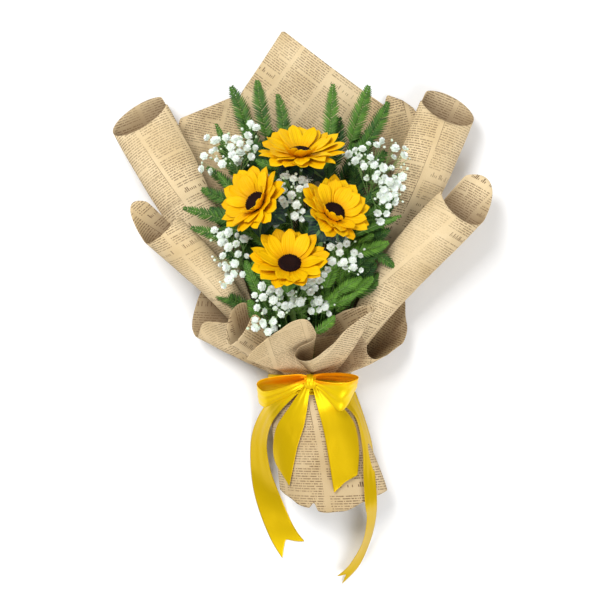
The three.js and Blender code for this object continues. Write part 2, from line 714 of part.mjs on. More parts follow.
function skirt() {
  const rings = [GATHER_TOP - 1, GATHER_BOTTOM, -150, -195].map((y) =>
    skirtRing(y, y < GATHER_BOTTOM ? 0.03 : 0));
  const hem = skirtRing(SKIRT_END_Y, 0.03);
  hem.forEach((corner, k) => {
    const side = Math.abs(Math.cos((k / SKIRT_COLUMNS) * 2 * Math.PI));
    corner.y -= 24 * (1 - side ** 2) + (k % 3 === 0 ? -7 : 0) * (1 - side);
  });
  return sheet([...rings, hem], PAPER_THICKNESS, true);
}

addPiece('paper_skirt', skirt(), paperFinish);

// ---------------------------------------------------------------- tie and ribbon

function ringBand(halfWidth, halfHeight, fromY, toY, thickness, columns) {
  const ring = (y) => Array.from({ length: columns }, (_, k) => {
    const turn = (k / columns) * 2 * Math.PI;
    return point(
      WAIST.x + (halfWidth - thickness / 2) * Math.cos(turn),
      y,
      WAIST.z + (halfHeight - thickness / 2) * Math.sin(turn),
    );
  });
  return sheet([ring(fromY), ring(toY)], thickness, true);
}

addPiece('stem_tie', ringBand(34, 23.6, WAIST.y - 5, WAIST.y + 5, 1.6, 20), finish(COLOURS.twine, 0.9));

const satin = finish(COLOURS.ribbon, 0.35);

addPiece(
  'ribbon_band',
  ringBand(
    WAIST_HALF_WIDTH - BAND_LAYER * LAYER_STEP, WAIST_HALF_HEIGHT,
    WAIST.y - BAND_HALF_LENGTH, WAIST.y + BAND_HALF_LENGTH, RIBBON_THICKNESS, 26,
  ),
  satin,
);

const KNOT = { centre: point(12, -98, 75), halfWidth: 8, halfLength: 10, halfHeight: 9 };

// The knot: a rounded lump of wrapped ribbon that sits on the band.
const knotGeometry = new THREE.SphereGeometry(1, 10, 8)
  .scale(KNOT.halfWidth, KNOT.halfLength, KNOT.halfHeight)
  .translate(...KNOT.centre.toArray());
addPiece('ribbon_knot', joined([knotGeometry]), satin);

// A strip of ribbon from pairs of edge points, with a middle line.
function ribbonStrip(pairs) {
  const rows = pairs.map(([left, right]) => [left, left.clone().lerp(right, 0.5), right]);
  return sheet(rows, RIBBON_THICKNESS);
}

// One loop of the bow, out from the knot and back under itself: [x, y, z, half width, slope].
function loop(stations) {
  return ribbonStrip(stations.map(([x, y, z, half, slope]) => {
    const edge = point(slope, -1, 0).setLength(half);
    return [point(x, y, z).sub(edge), point(x, y, z).add(edge)];
  }));
}

addPiece('ribbon_loop_left', loop([
  [2.6, -96, 84, 7, 0], [-12, -98, 89, 12, 0.1], [-28, -102, 92, 16, 0.15], [-42, -106, 91, 18, 0.2],
  [-50, -109, 86, 19, 0.25], [-46, -108, 80, 18, 0.2], [-30, -103, 77, 16, 0.15],
  [-12, -98, 75, 12, 0.1], [2, -96, 75, 7, 0],
]), satin);
addPiece('ribbon_loop_right', loop([
  [21.4, -96, 84, 7, 0], [34, -99, 89, 12, -0.2], [48, -105, 92, 16, -0.4], [58, -110, 91, 18, -0.5],
  [63, -113, 86, 19, -0.6], [59, -111, 80, 18, -0.5], [46, -104, 77, 16, -0.4],
  [34, -99, 75, 12, -0.2], [22, -96, 75, 7, 0],
]), satin);

// The height of the upper side of the skirt, or of the surface beside it, with the room that a
// ribbon on it needs.
const TABLE_LIFT = 0.6;
const FLANK_FALL = 22; // how far out from the skirt's side a ribbon reaches the surface
const SKIRT_CLEARANCE = { side: 3.5, top: 1.5 };

function drape(x, y) {
  const section = skirtSection(Math.max(y, SKIRT_END_Y));
  const halfWidth = section.halfWidth + SKIRT_CLEARANCE.side;
  const halfHeight = section.halfHeight + SKIRT_CLEARANCE.top;
  const q = Math.abs(x - section.x) / halfWidth;
  const top = section.z + halfHeight * Math.sqrt(Math.max(0, 1 - q * q));
  const beyond = Math.max(0, Math.abs(x - section.x) - halfWidth) / FLANK_FALL;
  return Math.max(TABLE_LIFT, lerp(top, TABLE_LIFT, Math.min(1, beyond)));
}

// A tail: pairs of edge points [x, y, lift above the skirt] or [x, y, undefined, height].
function tail(stations, notch) {
  const rows = stations.map(([left, right]) => [left, right].map(([x, y, lift, height]) =>
    point(x, y, height === undefined ? drape(x, y) + lift : height)));
  const strip = rows.map(([left, right]) => [0, 1 / 3, 2 / 3, 1].map((s) => left.clone().lerp(right, s)));
  strip.forEach((row, k) => {
    const [left, right] = stations[k];
    if (left[3] !== undefined || right[3] !== undefined) return;
    for (const s of [1, 2]) row[s].z = drape(row[s].x, row[s].y) + lerp(left[2], right[2], s / 3);
  });
  const end = strip[strip.length - 1];
  const before = strip[strip.length - 2];
  for (const s of [1, 2]) end[s].lerp(before[s], notch);
  return sheet(strip, RIBBON_THICKNESS);
}

const TAIL_LIFT = 1;

addPiece('ribbon_tail_left_long', tail([
  [[-8, -105, 0, 71], [-2, -112, 0, 70]],
  [[-35, -121, TAIL_LIFT + 1], [-25, -136, TAIL_LIFT + 1]],
  [[-51, -143, TAIL_LIFT], [-37, -157, TAIL_LIFT]],
  [[-61, -172, TAIL_LIFT], [-41, -183, TAIL_LIFT]],
  [[-62, -206, TAIL_LIFT], [-36, -212, TAIL_LIFT]],
  [[-58, -240, 0, 1.2], [-23, -249, 0, 9]],
  [[-49, -271, 0, 1], [-12, -276, 0, 1]],
  [[-36, -302, 0, 1], [-3, -292, 0, 1]],
  [[-22, -325, 0, 1], [6, -303, 0, 1]],
], 0.75), satin);
addPiece('ribbon_tail_left_short', tail([
  [[4, -114, 0, 72.5], [12, -112, 0, 72.5]],
  [[-12, -128, TAIL_LIFT + 2.5], [9, -129, TAIL_LIFT + 2]],
  [[-28, -153, TAIL_LIFT + 2], [5, -151, TAIL_LIFT + 1]],
  [[-33, -178, TAIL_LIFT + 2], [-3, -177, TAIL_LIFT + 1]],
  [[-31, -197, TAIL_LIFT + 1], [-8, -201, TAIL_LIFT]],
  [[-22, -212, TAIL_LIFT], [-13, -226, TAIL_LIFT]],
], 0), satin);
addPiece('ribbon_tail_right_short', tail([
  [[18, -114, 0, 71.5], [27, -112, 0, 71.5]],
  [[21, -130, TAIL_LIFT + 1.5], [46, -124, TAIL_LIFT + 1.5]],
  [[28, -156, TAIL_LIFT], [66, -149, TAIL_LIFT]],
  [[34, -188, TAIL_LIFT], [72, -180, TAIL_LIFT]],
  [[41, -233, TAIL_LIFT], [70, -212, TAIL_LIFT]],
], 0), satin);
addPiece('ribbon_tail_right_long', tail([
  [[49, -124, TAIL_LIFT + 1], [68, -112, TAIL_LIFT + 4]],
  [[68, -144, TAIL_LIFT + 1], [78, -140, TAIL_LIFT + 1]],
  [[76, -180, TAIL_LIFT + 1], [89, -178, TAIL_LIFT + 1]],
  [[77, -214, TAIL_LIFT + 2], [92, -216, TAIL_LIFT + 2]],
  [[79, -248, 0, 62], [94, -246, 0, 50]],
  [[82, -270, 0, 40], [94, -273, 0, 20]],
  [[77, -300, 0, 30], [88, -303, 0, 3]],
  [[61, -330, 0, 18], [74, -334, 0, 1.2]],
  [[46, -345, 0, 10], [52, -357, 0, 1.2]],
], 0.5), satin);

export default bunch;
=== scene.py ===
import math
import random

import bpy
from mathutils import Matrix, Quaternion, Vector, noise
from mathutils.kdtree import KDTree


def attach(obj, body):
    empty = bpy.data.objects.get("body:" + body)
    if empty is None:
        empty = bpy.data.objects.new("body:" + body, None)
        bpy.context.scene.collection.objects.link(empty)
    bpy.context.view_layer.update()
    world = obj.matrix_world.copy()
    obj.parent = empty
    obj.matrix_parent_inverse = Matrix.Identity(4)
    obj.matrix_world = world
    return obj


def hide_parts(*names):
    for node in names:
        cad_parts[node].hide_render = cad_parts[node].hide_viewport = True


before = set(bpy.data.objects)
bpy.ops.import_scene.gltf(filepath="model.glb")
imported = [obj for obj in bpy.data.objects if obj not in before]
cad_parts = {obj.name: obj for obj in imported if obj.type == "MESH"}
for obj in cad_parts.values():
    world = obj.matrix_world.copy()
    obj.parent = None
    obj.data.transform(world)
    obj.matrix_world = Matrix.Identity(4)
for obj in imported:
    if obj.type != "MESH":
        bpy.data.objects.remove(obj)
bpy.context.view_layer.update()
BODY = "root"
MM = 0.001

# ------------------------------------------------------------------ camera, light and floor

CAMERA_HEIGHT = 1.78
CAMERA_LENS = 85.0
CAMERA_SENSOR = 36.0


def add_camera():
    bpy.ops.object.camera_add(location=(0, 0, CAMERA_HEIGHT), rotation=(0, 0, 0))
    camera = bpy.context.object
    camera.data.lens = CAMERA_LENS
    camera.data.sensor_width = CAMERA_SENSOR
    camera.data.clip_end = 10
    bpy.context.scene.camera = camera


LIGHT_TARGET = Vector((0, 0, 0.05))


def add_light(name, place, size, power):
    bpy.ops.object.light_add(type="AREA", location=place)
    lamp = bpy.context.object
    lamp.name = name
    lamp.data.size = size
    lamp.data.energy = power
    lamp.rotation_mode = "QUATERNION"
    lamp.rotation_quaternion = (LIGHT_TARGET - Vector(place)).to_track_quat("-Z", "Y")


# ------------------------------------------------------------------ shader writing


class Wire:
    """A shader socket, or a number, that sums and products can be written with."""

    def __init__(self, tree, socket):
        self.tree = tree
        self.socket = socket

    def math(self, operation, *others):
        return add_node(self.tree, "ShaderNodeMath", {"operation": operation}, [self, *others])

    def __add__(self, other):
        return self.math("ADD", other)

    def __radd__(self, other):
        return self.math("ADD", other)

    def __sub__(self, other):
        return self.math("SUBTRACT", other)

    def __rsub__(self, other):
        return self.math("MULTIPLY", -1).math("ADD", other)

    def __mul__(self, other):
        return self.math("MULTIPLY", other)

    def __rmul__(self, other):
        return self.math("MULTIPLY", other)

    def __truediv__(self, other):
        return self.math("DIVIDE", other)

    def floor(self):
        return self.math("FLOOR")

    def fract(self):
        return self.math("FRACT")

    def above(self, limit):
        return self.math("GREATER_THAN", limit)

    def below(self, limit):
        return self.math("LESS_THAN", limit)

    def size(self):
        return self.math("ABSOLUTE")

    def between(self, low, high):
        return self.above(low) * self.below(high)

    def either(self, other):
        return self.math("MAXIMUM", other)

    def power(self, exponent):
        return self.math("POWER", exponent)

    def ramp(self, low, high):
        return add_node(self.tree, "ShaderNodeMapRange", {"clamp": True},
                        {"Value": self, "From Min": low, "From Max": high}, "Result")


def add_node(tree, kind, settings, values, output=0):
    """Adds one node: its settings first, then its sockets, by place in the list or by name."""
    node = tree.nodes.new(kind)
    for key, value in settings.items():
        setattr(node, key, value)
    pairs = enumerate(values) if isinstance(values, list) else values.items()
    for key, value in pairs:
        if isinstance(value, Wire):
            tree.links.new(value.socket, node.inputs[key])
        else:
            node.inputs[key].default_value = value
    return Wire(tree, node.outputs[output])


def rgba(red, green, blue):
    return (red, green, blue, 1.0)


class Finish:
    """A material and the few patterns that finishes are made of."""

    def __init__(self, name, roughness, **constants):
        self.material = bpy.data.materials.new(name)
        self.material.use_nodes = True
        self.tree = self.material.node_tree
        self.shader = self.tree.nodes["Principled BSDF"]
        self.set("Roughness", roughness)
        for key, value in constants.items():
            self.set(key.replace("_", " "), value)

    def set(self, socket, value):
        if isinstance(value, Wire):
            self.tree.links.new(value.socket, self.shader.inputs[socket])
        else:
            self.shader.inputs[socket].default_value = value

    def node(self, kind, settings, values, output=0):
        return add_node(self.tree, kind, settings, values, output)

    def mix(self, share, first, second):
        return self.node("ShaderNodeMix", {"data_type": "RGBA"}, {0: share, 6: first, 7: second}, 2)

    def split(self, vector):
        return [self.node("ShaderNodeSeparateXYZ", {}, [vector], k) for k in range(3)]

    def vector(self, x=0.0, y=0.0, z=0.0):
        return self.node("ShaderNodeCombineXYZ", {}, [x, y, z])

    def place(self):
        return self.node("ShaderNodeTexCoord", {}, {}, "Object")

    def own_map(self):
        return self.split(self.node("ShaderNodeUVMap", {"uv_map": "UVMap"}, {}))[:2]

    def tint(self):
        return self.node("ShaderNodeAttribute", {"attribute_name": "tint"}, {}, "Fac")

    def noise(self, vector, scale, detail=2.0):
        return self.node("ShaderNodeTexNoise", {}, {"Vector": vector, "Scale": scale, "Detail": detail})

    def random(self, x, y=0.0, z=0.0):
        return self.node("ShaderNodeTexWhiteNoise", {"noise_dimensions": "3D"},
                         {"Vector": self.vector(x, y, z)}, "Value")

    def bump(self, height, distance, strength=1.0):
        self.set("Normal", self.node("ShaderNodeBump", {}, {
            "Height": height, "Distance": distance, "Strength": strength}))


LINE = 0.003  # from one printed line to the next
LETTER = 0.0009
SHORT_WORD = 0.0083
LONG_WORD = 0.0131
COLUMN = 0.047  # one printed column and its gutter
COLUMN_MARGIN = 0.055  # share of a column that stays bare at each side
PARAGRAPH = 11.0  # lines
BLOCK = 13.0  # lines from one headline place to the next
HEADLINE_STROKE = 0.0023
HEADLINE_DEPTH = 0.31  # share of a block
BOX_SIDE = 0.445  # share of a column from its middle to a box's side
KRAFT_LIGHT = rgba(0.77, 0.62, 0.385)
KRAFT_DEEP = rgba(0.58, 0.435, 0.23)
# The dark brown that painted shade mixes the paper towards.
KRAFT_SHADE = rgba(0.13, 0.065, 0.025)
INK = rgba(0.11, 0.055, 0.024)


def printed_lines(paper, across, row, in_line, column, in_column):
    """Lines of small strokes that stand in words. The last line of a paragraph is cut short."""
    letter = paper.random((across / LETTER).floor(), row)
    words = (across / SHORT_WORD + paper.random(row, 3.0) * 5.0).fract().above(0.11)
    words = words * (across / LONG_WORD + paper.random(row, 8.0) * 5.0).fract().above(0.06)
    strokes = (in_line - 0.5).size().below(letter * 0.13 + 0.15) * (letter - 0.5).size().below(0.46)
    paragraph = (row / PARAGRAPH).floor()
    last_line = (row / PARAGRAPH).fract().above(0.85)
    line_end = paper.random(column, paragraph, 5.0) * 0.7 + 0.15
    cut_short = last_line * in_column.above(line_end)
    inside = in_column.between(COLUMN_MARGIN, 1 - COLUMN_MARGIN)
    return strokes * words * (1 - cut_short) * inside


def printed_blocks(paper, across, row, in_line, column, in_column):
    """Here and there a headline of tall strokes, or a box of thin rules, and where headlines are."""
    block = (row / BLOCK).floor()
    in_block = (row / BLOCK).fract()
    kind = paper.random(column, block, 11.0)
    heading = kind.above(0.74)
    heading_zone = in_block.below(HEADLINE_DEPTH) * heading
    stroke = (across / HEADLINE_STROKE).floor()
    reach = paper.random(stroke, block, 2.0)
    bar = (across / HEADLINE_STROKE).fract().below(reach * 0.35 + 0.3) * reach.above(0.2)
    tall = (in_block - 0.15 - reach * 0.025).size().below(0.03 + reach * 0.05)
    headline = heading_zone * tall * bar * in_column.between(0.14, 0.86)
    boxed = kind.below(0.16)
    rule_sides = (in_column - 0.5).size().between(BOX_SIDE - 0.015, BOX_SIDE)
    rule_ends = in_line.below(0.13) * in_block.below(1.0 / BLOCK)
    rule_ends = rule_ends * (in_column - 0.5).size().below(BOX_SIDE)
    return heading_zone, headline, boxed * rule_sides.either(rule_ends)


def newsprint_finish():
    """Warm kraft paper with unreadable brown columns of print: no letter is drawn.
    The tint of a piece is painted shade: how dark it is painted deep inside a roll or a fold."""
    paper = Finish("kraft_newsprint", 0.82, Specular_IOR_Level=0.25)
    across, along = paper.own_map()
    line = along / LINE
    columns = across / COLUMN
    grid = (line.floor(), line.fract(), columns.floor(), columns.fract())
    text = printed_lines(paper, across, *grid)
    heading_zone, headline, rules = printed_blocks(paper, across, *grid)
    ink = (text * (1 - heading_zone) * 0.82).either(headline).either(rules * 0.8)
    place = paper.place()
    wear = paper.noise(place, 9.0, 4.0)
    ink = ink * wear.ramp(0.2, 0.55) * 0.9
    fibre = paper.noise(place, 900.0, 3.0)
    cloud = paper.noise(place, 14.0, 5.0)
    ground = paper.mix(cloud.ramp(0.35, 0.7), KRAFT_LIGHT, KRAFT_DEEP)
    ground = paper.mix(fibre.ramp(0.35, 0.75) * 0.25, ground, rgba(0.5, 0.33, 0.16))
    printed = paper.mix(ink, ground, INK)
    # Painted shade: the tint mixes the printed paper towards dark brown.
    paper.set("Base Color", paper.mix(paper.tint(), printed, KRAFT_SHADE))
    paper.set("Roughness", fibre * 0.14 + 0.72)
    paper.bump(fibre * 0.4 + paper.noise(place, 60.0, 3.0), 0.0006, 0.5)
    return paper.material


RIBBON_WIDTH = 38.0  # mm


def satin_finish():
    """Golden satin. The tint runs from gold, over a painted lemon highlight, to a painted orange glow where
    light would come through.
    """
    satin = Finish("satin_ribbon", 0.3, Metallic=0.45, Specular_IOR_Level=0.15, Anisotropic=0.4)
    across, along = satin.own_map()
    thread = (along * 5200.0).math("SINE")
    streak = satin.noise(satin.vector(across * 700.0, along * 30.0, 0.0), 1.0, 3.0)
    # Painted highlight: the tint mixes the gold towards lemon.
    gold = satin.mix(satin.tint().ramp(0.0, 0.5), rgba(0.64, 0.425, 0.0), rgba(1.0, 0.71, 0.003))
    gold = satin.mix(streak.ramp(0.3, 0.7) * 0.25, gold, rgba(0.66, 0.40, 0.0))
    selvedge = (across / (RIBBON_WIDTH * MM) - 0.5).size().above(0.475)
    # Painted glow: the highest tints mix it towards orange, as if lit from behind.
    gold = satin.mix(satin.tint().ramp(0.5, 1.0), gold, rgba(1.0, 0.33, 0.0))
    satin.set("Base Color", satin.mix(selvedge * 0.35, gold, rgba(0.62, 0.34, 0.0)))
    satin.set("Roughness", streak * 0.12 + 0.28)
    satin.bump(thread * 0.5 + streak, 0.00012, 0.35)
    return satin.material


def petal_finish():
    """Gold, orange at the root, partly the petal's own colour and partly painted shade near the disc, with
    fine veins along it.
    """
    petal = Finish("petal", 0.55, Subsurface_Weight=0.05, Specular_IOR_Level=0.1)
    across, along = petal.own_map()
    side = (across - 0.5).size()
    vein = ((across * 44.0).math("SINE") * 0.5 + 0.5).power(2.0)
    mottled = petal.noise(petal.place(), 220.0, 3.0)
    gold = petal.mix(petal.tint(), rgba(0.80, 0.40, 0.0), rgba(0.88, 0.54, 0.001))
    gold = petal.mix(vein * 0.16, gold, rgba(0.72, 0.33, 0.0))
    # Partly painted shade: the root is mixed towards deep orange, most near the disc.
    gold = petal.mix(along.ramp(0.34, 0.04) * 0.8, gold, rgba(0.66, 0.24, 0.0))
    gold = petal.mix(side.ramp(0.3, 0.5) * 0.12, gold, rgba(0.82, 0.40, 0.0))
    petal.set("Base Color", petal.mix(mottled.ramp(0.5, 0.8) * 0.2, gold, rgba(0.92, 0.60, 0.003)))
    petal.set("Roughness", mottled * 0.2 + 0.42)
    petal.bump(vein + mottled * 0.4, 0.0005, 0.5)
    return petal.material


def disc_finish():
    """Near black in the middle, maroon at the rim, pale grains at the tips."""
    disc = Finish("disc", 0.8, Specular_IOR_Level=0.12)
    grain = disc.noise(disc.place(), 700.0, 3.0)
    dark = disc.mix(disc.tint(), rgba(0.006, 0.003, 0.003), rgba(0.05, 0.010, 0.006))
    disc.set("Base Color", disc.mix(grain.ramp(0.6, 0.8) * 0.3, dark, rgba(0.13, 0.045, 0.02)))
    disc.set("Roughness", grain * 0.2 + 0.7)
    disc.bump(grain, 0.0004, 0.6)
    return disc.material


def leaf_finish():
    """Fern green: the tint runs from a painted blue-black shadow, over deep, to light green, and its low
    values are partly painted shade. The middle rib is paler.
    """
    leaf = Finish("leaf", 0.45, Specular_IOR_Level=0.22)
    across, along = leaf.own_map()
    side = (across - 0.5).size()
    mottled = leaf.noise(leaf.place(), 160.0, 3.0)
    vein = (along * 9.0 - side * 6.0).fract().below(0.22)
    # Partly painted shade: low tints darken the green, and below zero it is a painted blue-black shadow.
    green = leaf.mix(leaf.tint(), rgba(0.008, 0.046, 0.009), rgba(0.19, 0.42, 0.04))
    green = leaf.mix(leaf.tint().ramp(0.0, -1.0), green, rgba(0.006, 0.012, 0.022))
    green = leaf.mix(mottled.ramp(0.4, 0.75) * 0.4, green, rgba(0.035, 0.14, 0.02))
    green = leaf.mix(side.below(0.06) * 0.35, green, rgba(0.24, 0.42, 0.12))
    leaf.set("Base Color", leaf.mix(vein * 0.15, green, rgba(0.14, 0.30, 0.07)))
    leaf.set("Roughness", mottled * 0.25 + 0.35)
    leaf.bump(mottled + vein * 0.5, 0.0004, 0.6)
    return leaf.material


def stem_finish():
    """Green with long pale streaks and fine hairs' roughness."""
    stem = Finish("stem", 0.55)
    place = stem.place()
    streak = stem.noise(place, 260.0, 4.0)
    green = stem.mix(stem.tint(), rgba(0.03, 0.10, 0.03), rgba(0.20, 0.36, 0.08))
    stem.set("Base Color", stem.mix(streak.ramp(0.45, 0.7) * 0.4, green, rgba(0.30, 0.40, 0.14)))
    stem.set("Roughness", streak * 0.3 + 0.4)
    stem.bump(streak, 0.0004, 0.7)
    return stem.material


def floret_finish():
    """White petals, a little green in the heart: the tint is the height above the stalk."""
    floret = Finish("floret", 0.6, Subsurface_Weight=0.08, Specular_IOR_Level=0.25)
    mottled = floret.noise(floret.place(), 500.0, 3.0)
    white = floret.mix(floret.tint(), rgba(0.50, 0.64, 0.36), rgba(0.95, 0.96, 0.97))
    floret.set("Base Color", floret.mix(mottled.ramp(0.55, 0.8) * 0.12, white, rgba(0.80, 0.85, 0.88)))
    floret.set("Roughness", mottled * 0.2 + 0.5)
    floret.bump(mottled, 0.0003, 0.5)
    return floret.material


def twine_finish():
    """Dull jute, twisted."""
    twine = Finish("twine", 0.9)
    fibre = twine.noise(twine.place(), 800.0, 4.0)
    twine.set("Base Color", twine.mix(fibre.ramp(0.3, 0.7), rgba(0.40, 0.26, 0.11), rgba(0.24, 0.14, 0.05)))
    twine.set("Roughness", fibre * 0.2 + 0.75)
    twine.bump(fibre, 0.0006, 0.8)
    return twine.material


def floor_finish():
    floor = Finish("studio_floor", 0.9)
    floor.set("Base Color", rgba(0.92, 0.92, 0.92))
    return floor.material


PAPER = newsprint_finish()
SATIN = satin_finish()
PETAL = petal_finish()
DISC = disc_finish()
LEAF = leaf_finish()
STEM = stem_finish()
FLORET = floret_finish()
TWINE = twine_finish()

# ------------------------------------------------------------------ modelling helpers


def lerp(a, b, t):
    return a + (b - a) * t


def smooth(t):
    t = min(1.0, max(0.0, t))
    return t * t * (3 - 2 * t)


def bell(t):
    return math.sin(math.pi * t)


def unit(degrees):
    return math.cos(math.radians(degrees)), math.sin(math.radians(degrees))


CIRCLE = [unit(15 * k) for k in range(25)]


def through(points, count):
    """A smooth line through points of any number of coordinates, as `count` evenly spaced ones."""
    points = [tuple(map(float, point)) for point in points]
    fine = []
    steps = 12
    for k in range(len(points) - 1):
        before = points[max(0, k - 1)]
        start, end = points[k], points[k + 1]
        after = points[min(len(points) - 1, k + 2)]
        for step in range(steps):
            t = step / steps
            fine.append(tuple(
                0.5 * (2 * b + (c - a) * t + (2 * a - 5 * b + 4 * c - d) * t ** 2
                       + (3 * b - a - 3 * c + d) * t ** 3)
                for a, b, c, d in zip(before, start, end, after)))
    fine.append(points[-1])
    travelled = [0.0]
    for a, b in zip(fine, fine[1:]):
        travelled.append(travelled[-1] + math.dist(a[:3], b[:3]))
    found = []
    k = 0
    for step in range(count):
        target = travelled[-1] * step / (count - 1)
        while k < len(fine) - 2 and travelled[k + 1] < target:
            k += 1
        span = travelled[k + 1] - travelled[k]
        t = (target - travelled[k]) / span if span > 1e-9 else 0.0
        found.append(tuple(lerp(a, b, min(1.0, t)) for a, b in zip(fine[k], fine[k + 1])))
    return found


def only(piece):
    bpy.ops.object.select_all(action="DESELECT")
    piece.select_set(True)
    bpy.context.view_layer.objects.active = piece


def apply_modifier(piece, kind, **settings):
    only(piece)
    modifier = piece.modifiers.new(kind.title(), kind)
    for key, value in settings.items():
        setattr(modifier, key, value)
    bpy.ops.object.modifier_apply(modifier=modifier.name)


def grid_piece(name, rows, measured=None, panel_map=None):
    """A grid primitive laid through rows of points in mm. Its map is `measured`, or 0 to 1, or
    for a sheet of many panels `panel_map` of a corner's row and column and its face's column."""
    bpy.ops.object.select_all(action="DESELECT")
    last_row, last_column = len(rows) - 1, len(rows[0]) - 1
    bpy.ops.mesh.primitive_grid_add(x_subdivisions=last_column, y_subdivisions=last_row, size=2)
    piece = bpy.context.object
    piece.name = piece.data.name = name
    mesh = piece.data
    places = []
    for corner in mesh.vertices:
        column = round((corner.co.x + 1) / 2 * last_column)
        row = round((corner.co.y + 1) / 2 * last_row)
        places.append((row, column))
    for corner, (row, column) in zip(mesh.vertices, places):
        corner.co = Vector(rows[row][column]) * MM
    uv = mesh.uv_layers.active.data
    for face in mesh.polygons:
        first_column = min(places[corner][1] for corner in face.vertices)
        for k, corner in zip(face.loop_indices, face.vertices):
            row, column = places[corner]
            if panel_map:
                uv[k].uv = panel_map(row, column, first_column)
            else:
                uv[k].uv = measured[row][column] if measured else (column / last_column, row / last_row)
    return piece


def stitch(piece):
    """Merges doubles, as where a ring closes, and turns the faces the same way."""
    only(piece)
    bpy.ops.object.mode_set(mode="EDIT")
    bpy.ops.mesh.select_all(action="SELECT")
    bpy.ops.mesh.remove_doubles(threshold=0.01 * MM)
    bpy.ops.mesh.normals_make_consistent(inside=False)
    bpy.ops.object.mode_set(mode="OBJECT")


def set_tint(piece, tint_of):
    """Writes the float attribute that the finishes read, from each corner's place in mm."""
    layer = piece.data.attributes.new("tint", "FLOAT", "POINT")
    for corner, value in zip(piece.data.vertices, layer.data):
        value.value = tint_of(corner.co / MM)


def handed_over(piece, material, slot, *nodes):
    """Gives a finished piece its material, its CAD nodes and the body that it rides on. Its slot is not
    used.
    """
    if material:
        piece.data.materials.clear()
        piece.data.materials.append(material)
    only(piece)
    bpy.ops.object.shade_smooth()
    if nodes:
        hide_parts(*nodes)
    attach(piece, BODY)
    return piece


class Shape:
    """A small modelled shape that is copied many times: its corners, faces and map. Its corners
    are divided by `length`, which is MM where it was modelled in metres."""

    def __init__(self, piece, length=1.0):
        mesh = piece.data
        self.corners = [corner.co / length for corner in mesh.vertices]
        self.faces = [tuple(face.vertices) for face in mesh.polygons]
        layer = mesh.uv_layers.active.data
        self.maps = [[tuple(layer[k].uv) for k in face.loop_indices] for face in mesh.polygons]
        bpy.data.objects.remove(piece)
        bpy.data.meshes.remove(mesh)


class Growth:
    """Copies of shapes that make up one piece, each with its own place, tint and finish. A tint
    runs to `tip_tint` from the foot of a shape to its top where that is given."""

    def __init__(self, name, *materials):
        self.name = name
        self.materials = materials
        self.corners, self.faces, self.maps, self.tints, self.finishes = [], [], [], [], []

    def add(self, shape, matrix, tint=0.5, finish=0, tip_tint=None):
        start = len(self.corners)
        self.corners.extend(matrix @ corner for corner in shape.corners)
        self.faces.extend(tuple(start + k for k in face) for face in shape.faces)
        self.maps.extend(shape.maps)
        if tip_tint is None:
            self.tints.extend([tint] * len(shape.corners))
        else:
            low = min(corner.z for corner in shape.corners)
            high = max(corner.z for corner in shape.corners)
            self.tints.extend(
                lerp(tint, tip_tint, (corner.z - low) / (high - low)) for corner in shape.corners)
        self.finishes.extend([finish] * len(shape.faces))

    def tube(self, route, radii, sides, tint=0.5, finish=0):
        """A round stalk along a route, closed at both ends."""
        start = len(self.corners)
        route = [Vector(place) for place in route]
        aside = None
        for k, place in enumerate(route):
            ahead = (route[min(k + 1, len(route) - 1)] - route[max(k - 1, 0)]).normalized()
            if aside is None:
                aside = ahead.orthogonal().normalized()
            aside = (aside - ahead * aside.dot(ahead)).normalized()
            up = ahead.cross(aside)
            radius = lerp(radii[0], radii[1], k / (len(route) - 1))
            for side in range(sides):
                turn = 2 * math.pi * side / sides
                self.corners.append(place + (aside * math.cos(turn) + up * math.sin(turn)) * radius)
                self.tints.append(tint)
        for k in range(len(route) - 1):
            for side in range(sides):
                a, b = start + k * sides + side, start + k * sides + (side + 1) % sides
                self.faces.append((a, b, b + sides, a + sides))
                low, high = k / len(route), (k + 1) / len(route)
                left, right = side / sides, (side + 1) / sides
                self.maps.append([(left, low), (right, low), (right, high), (left, high)])
                self.finishes.append(finish)
        last = start + (len(route) - 1) * sides
        for ring in (list(range(start, start + sides))[::-1], list(range(last, last + sides))):
            self.faces.append(tuple(ring))
            self.maps.append([(0.5, 0.5)] * sides)
            self.finishes.append(finish)

    def grown(self, slot, *nodes):
        mesh = bpy.data.meshes.new(self.name)
        mesh.from_pydata([corner * MM for corner in self.corners], [], self.faces)
        layer = mesh.uv_layers.new(name="UVMap")
        layer.data.foreach_set("uv", [value for face in self.maps for pair in face for value in pair])
        tint = mesh.attributes.new("tint", "FLOAT", "POINT")
        tint.data.foreach_set("value", self.tints)
        for material in self.materials:
            mesh.materials.append(material)
        mesh.polygons.foreach_set("material_index", self.finishes)
        mesh.update()
        piece = bpy.data.objects.new(self.name, mesh)
        bpy.context.scene.collection.objects.link(piece)
        return handed_over(piece, None, slot, *nodes)


def turned_to(facing, spin=0.0):
    """The turn that takes +Z to `facing`, after a spin about it."""
    swing = Vector((0, 0, 1)).rotation_difference(Vector(facing).normalized())
    return (swing @ Quaternion((0, 0, 1), spin)).to_matrix().to_4x4()


def placed(place, turn=None, scale=(1, 1, 1)):
    stretch = Matrix.Diagonal((*scale, 1.0))
    return Matrix.Translation(Vector(place)) @ (turn or Matrix.Identity(4)) @ stretch


def along_and_up(ahead, up):
    """The turn that takes +Y to `ahead` and keeps +Z near `up`."""
    ahead = Vector(ahead).normalized()
    side = ahead.cross(Vector(up)).normalized()
    above = side.cross(ahead)
    return Matrix((side, ahead, above)).transposed().to_4x4()


# ------------------------------------------------------------------ stems, shared with the part

WAIST = Vector((12, -103, 34))
WAIST_HALF_WIDTH = 51.5
WAIST_HALF_HEIGHT = 31.5
BAND_HALF_LENGTH = 12
LAYER_STEP = 1.5
GATHER_TOP = -90
GATHER_BOTTOM = -116
STEM_FOCUS = Vector((12, -143, 12))
STEM_LEAN = 24
STEM_END_Y = -222


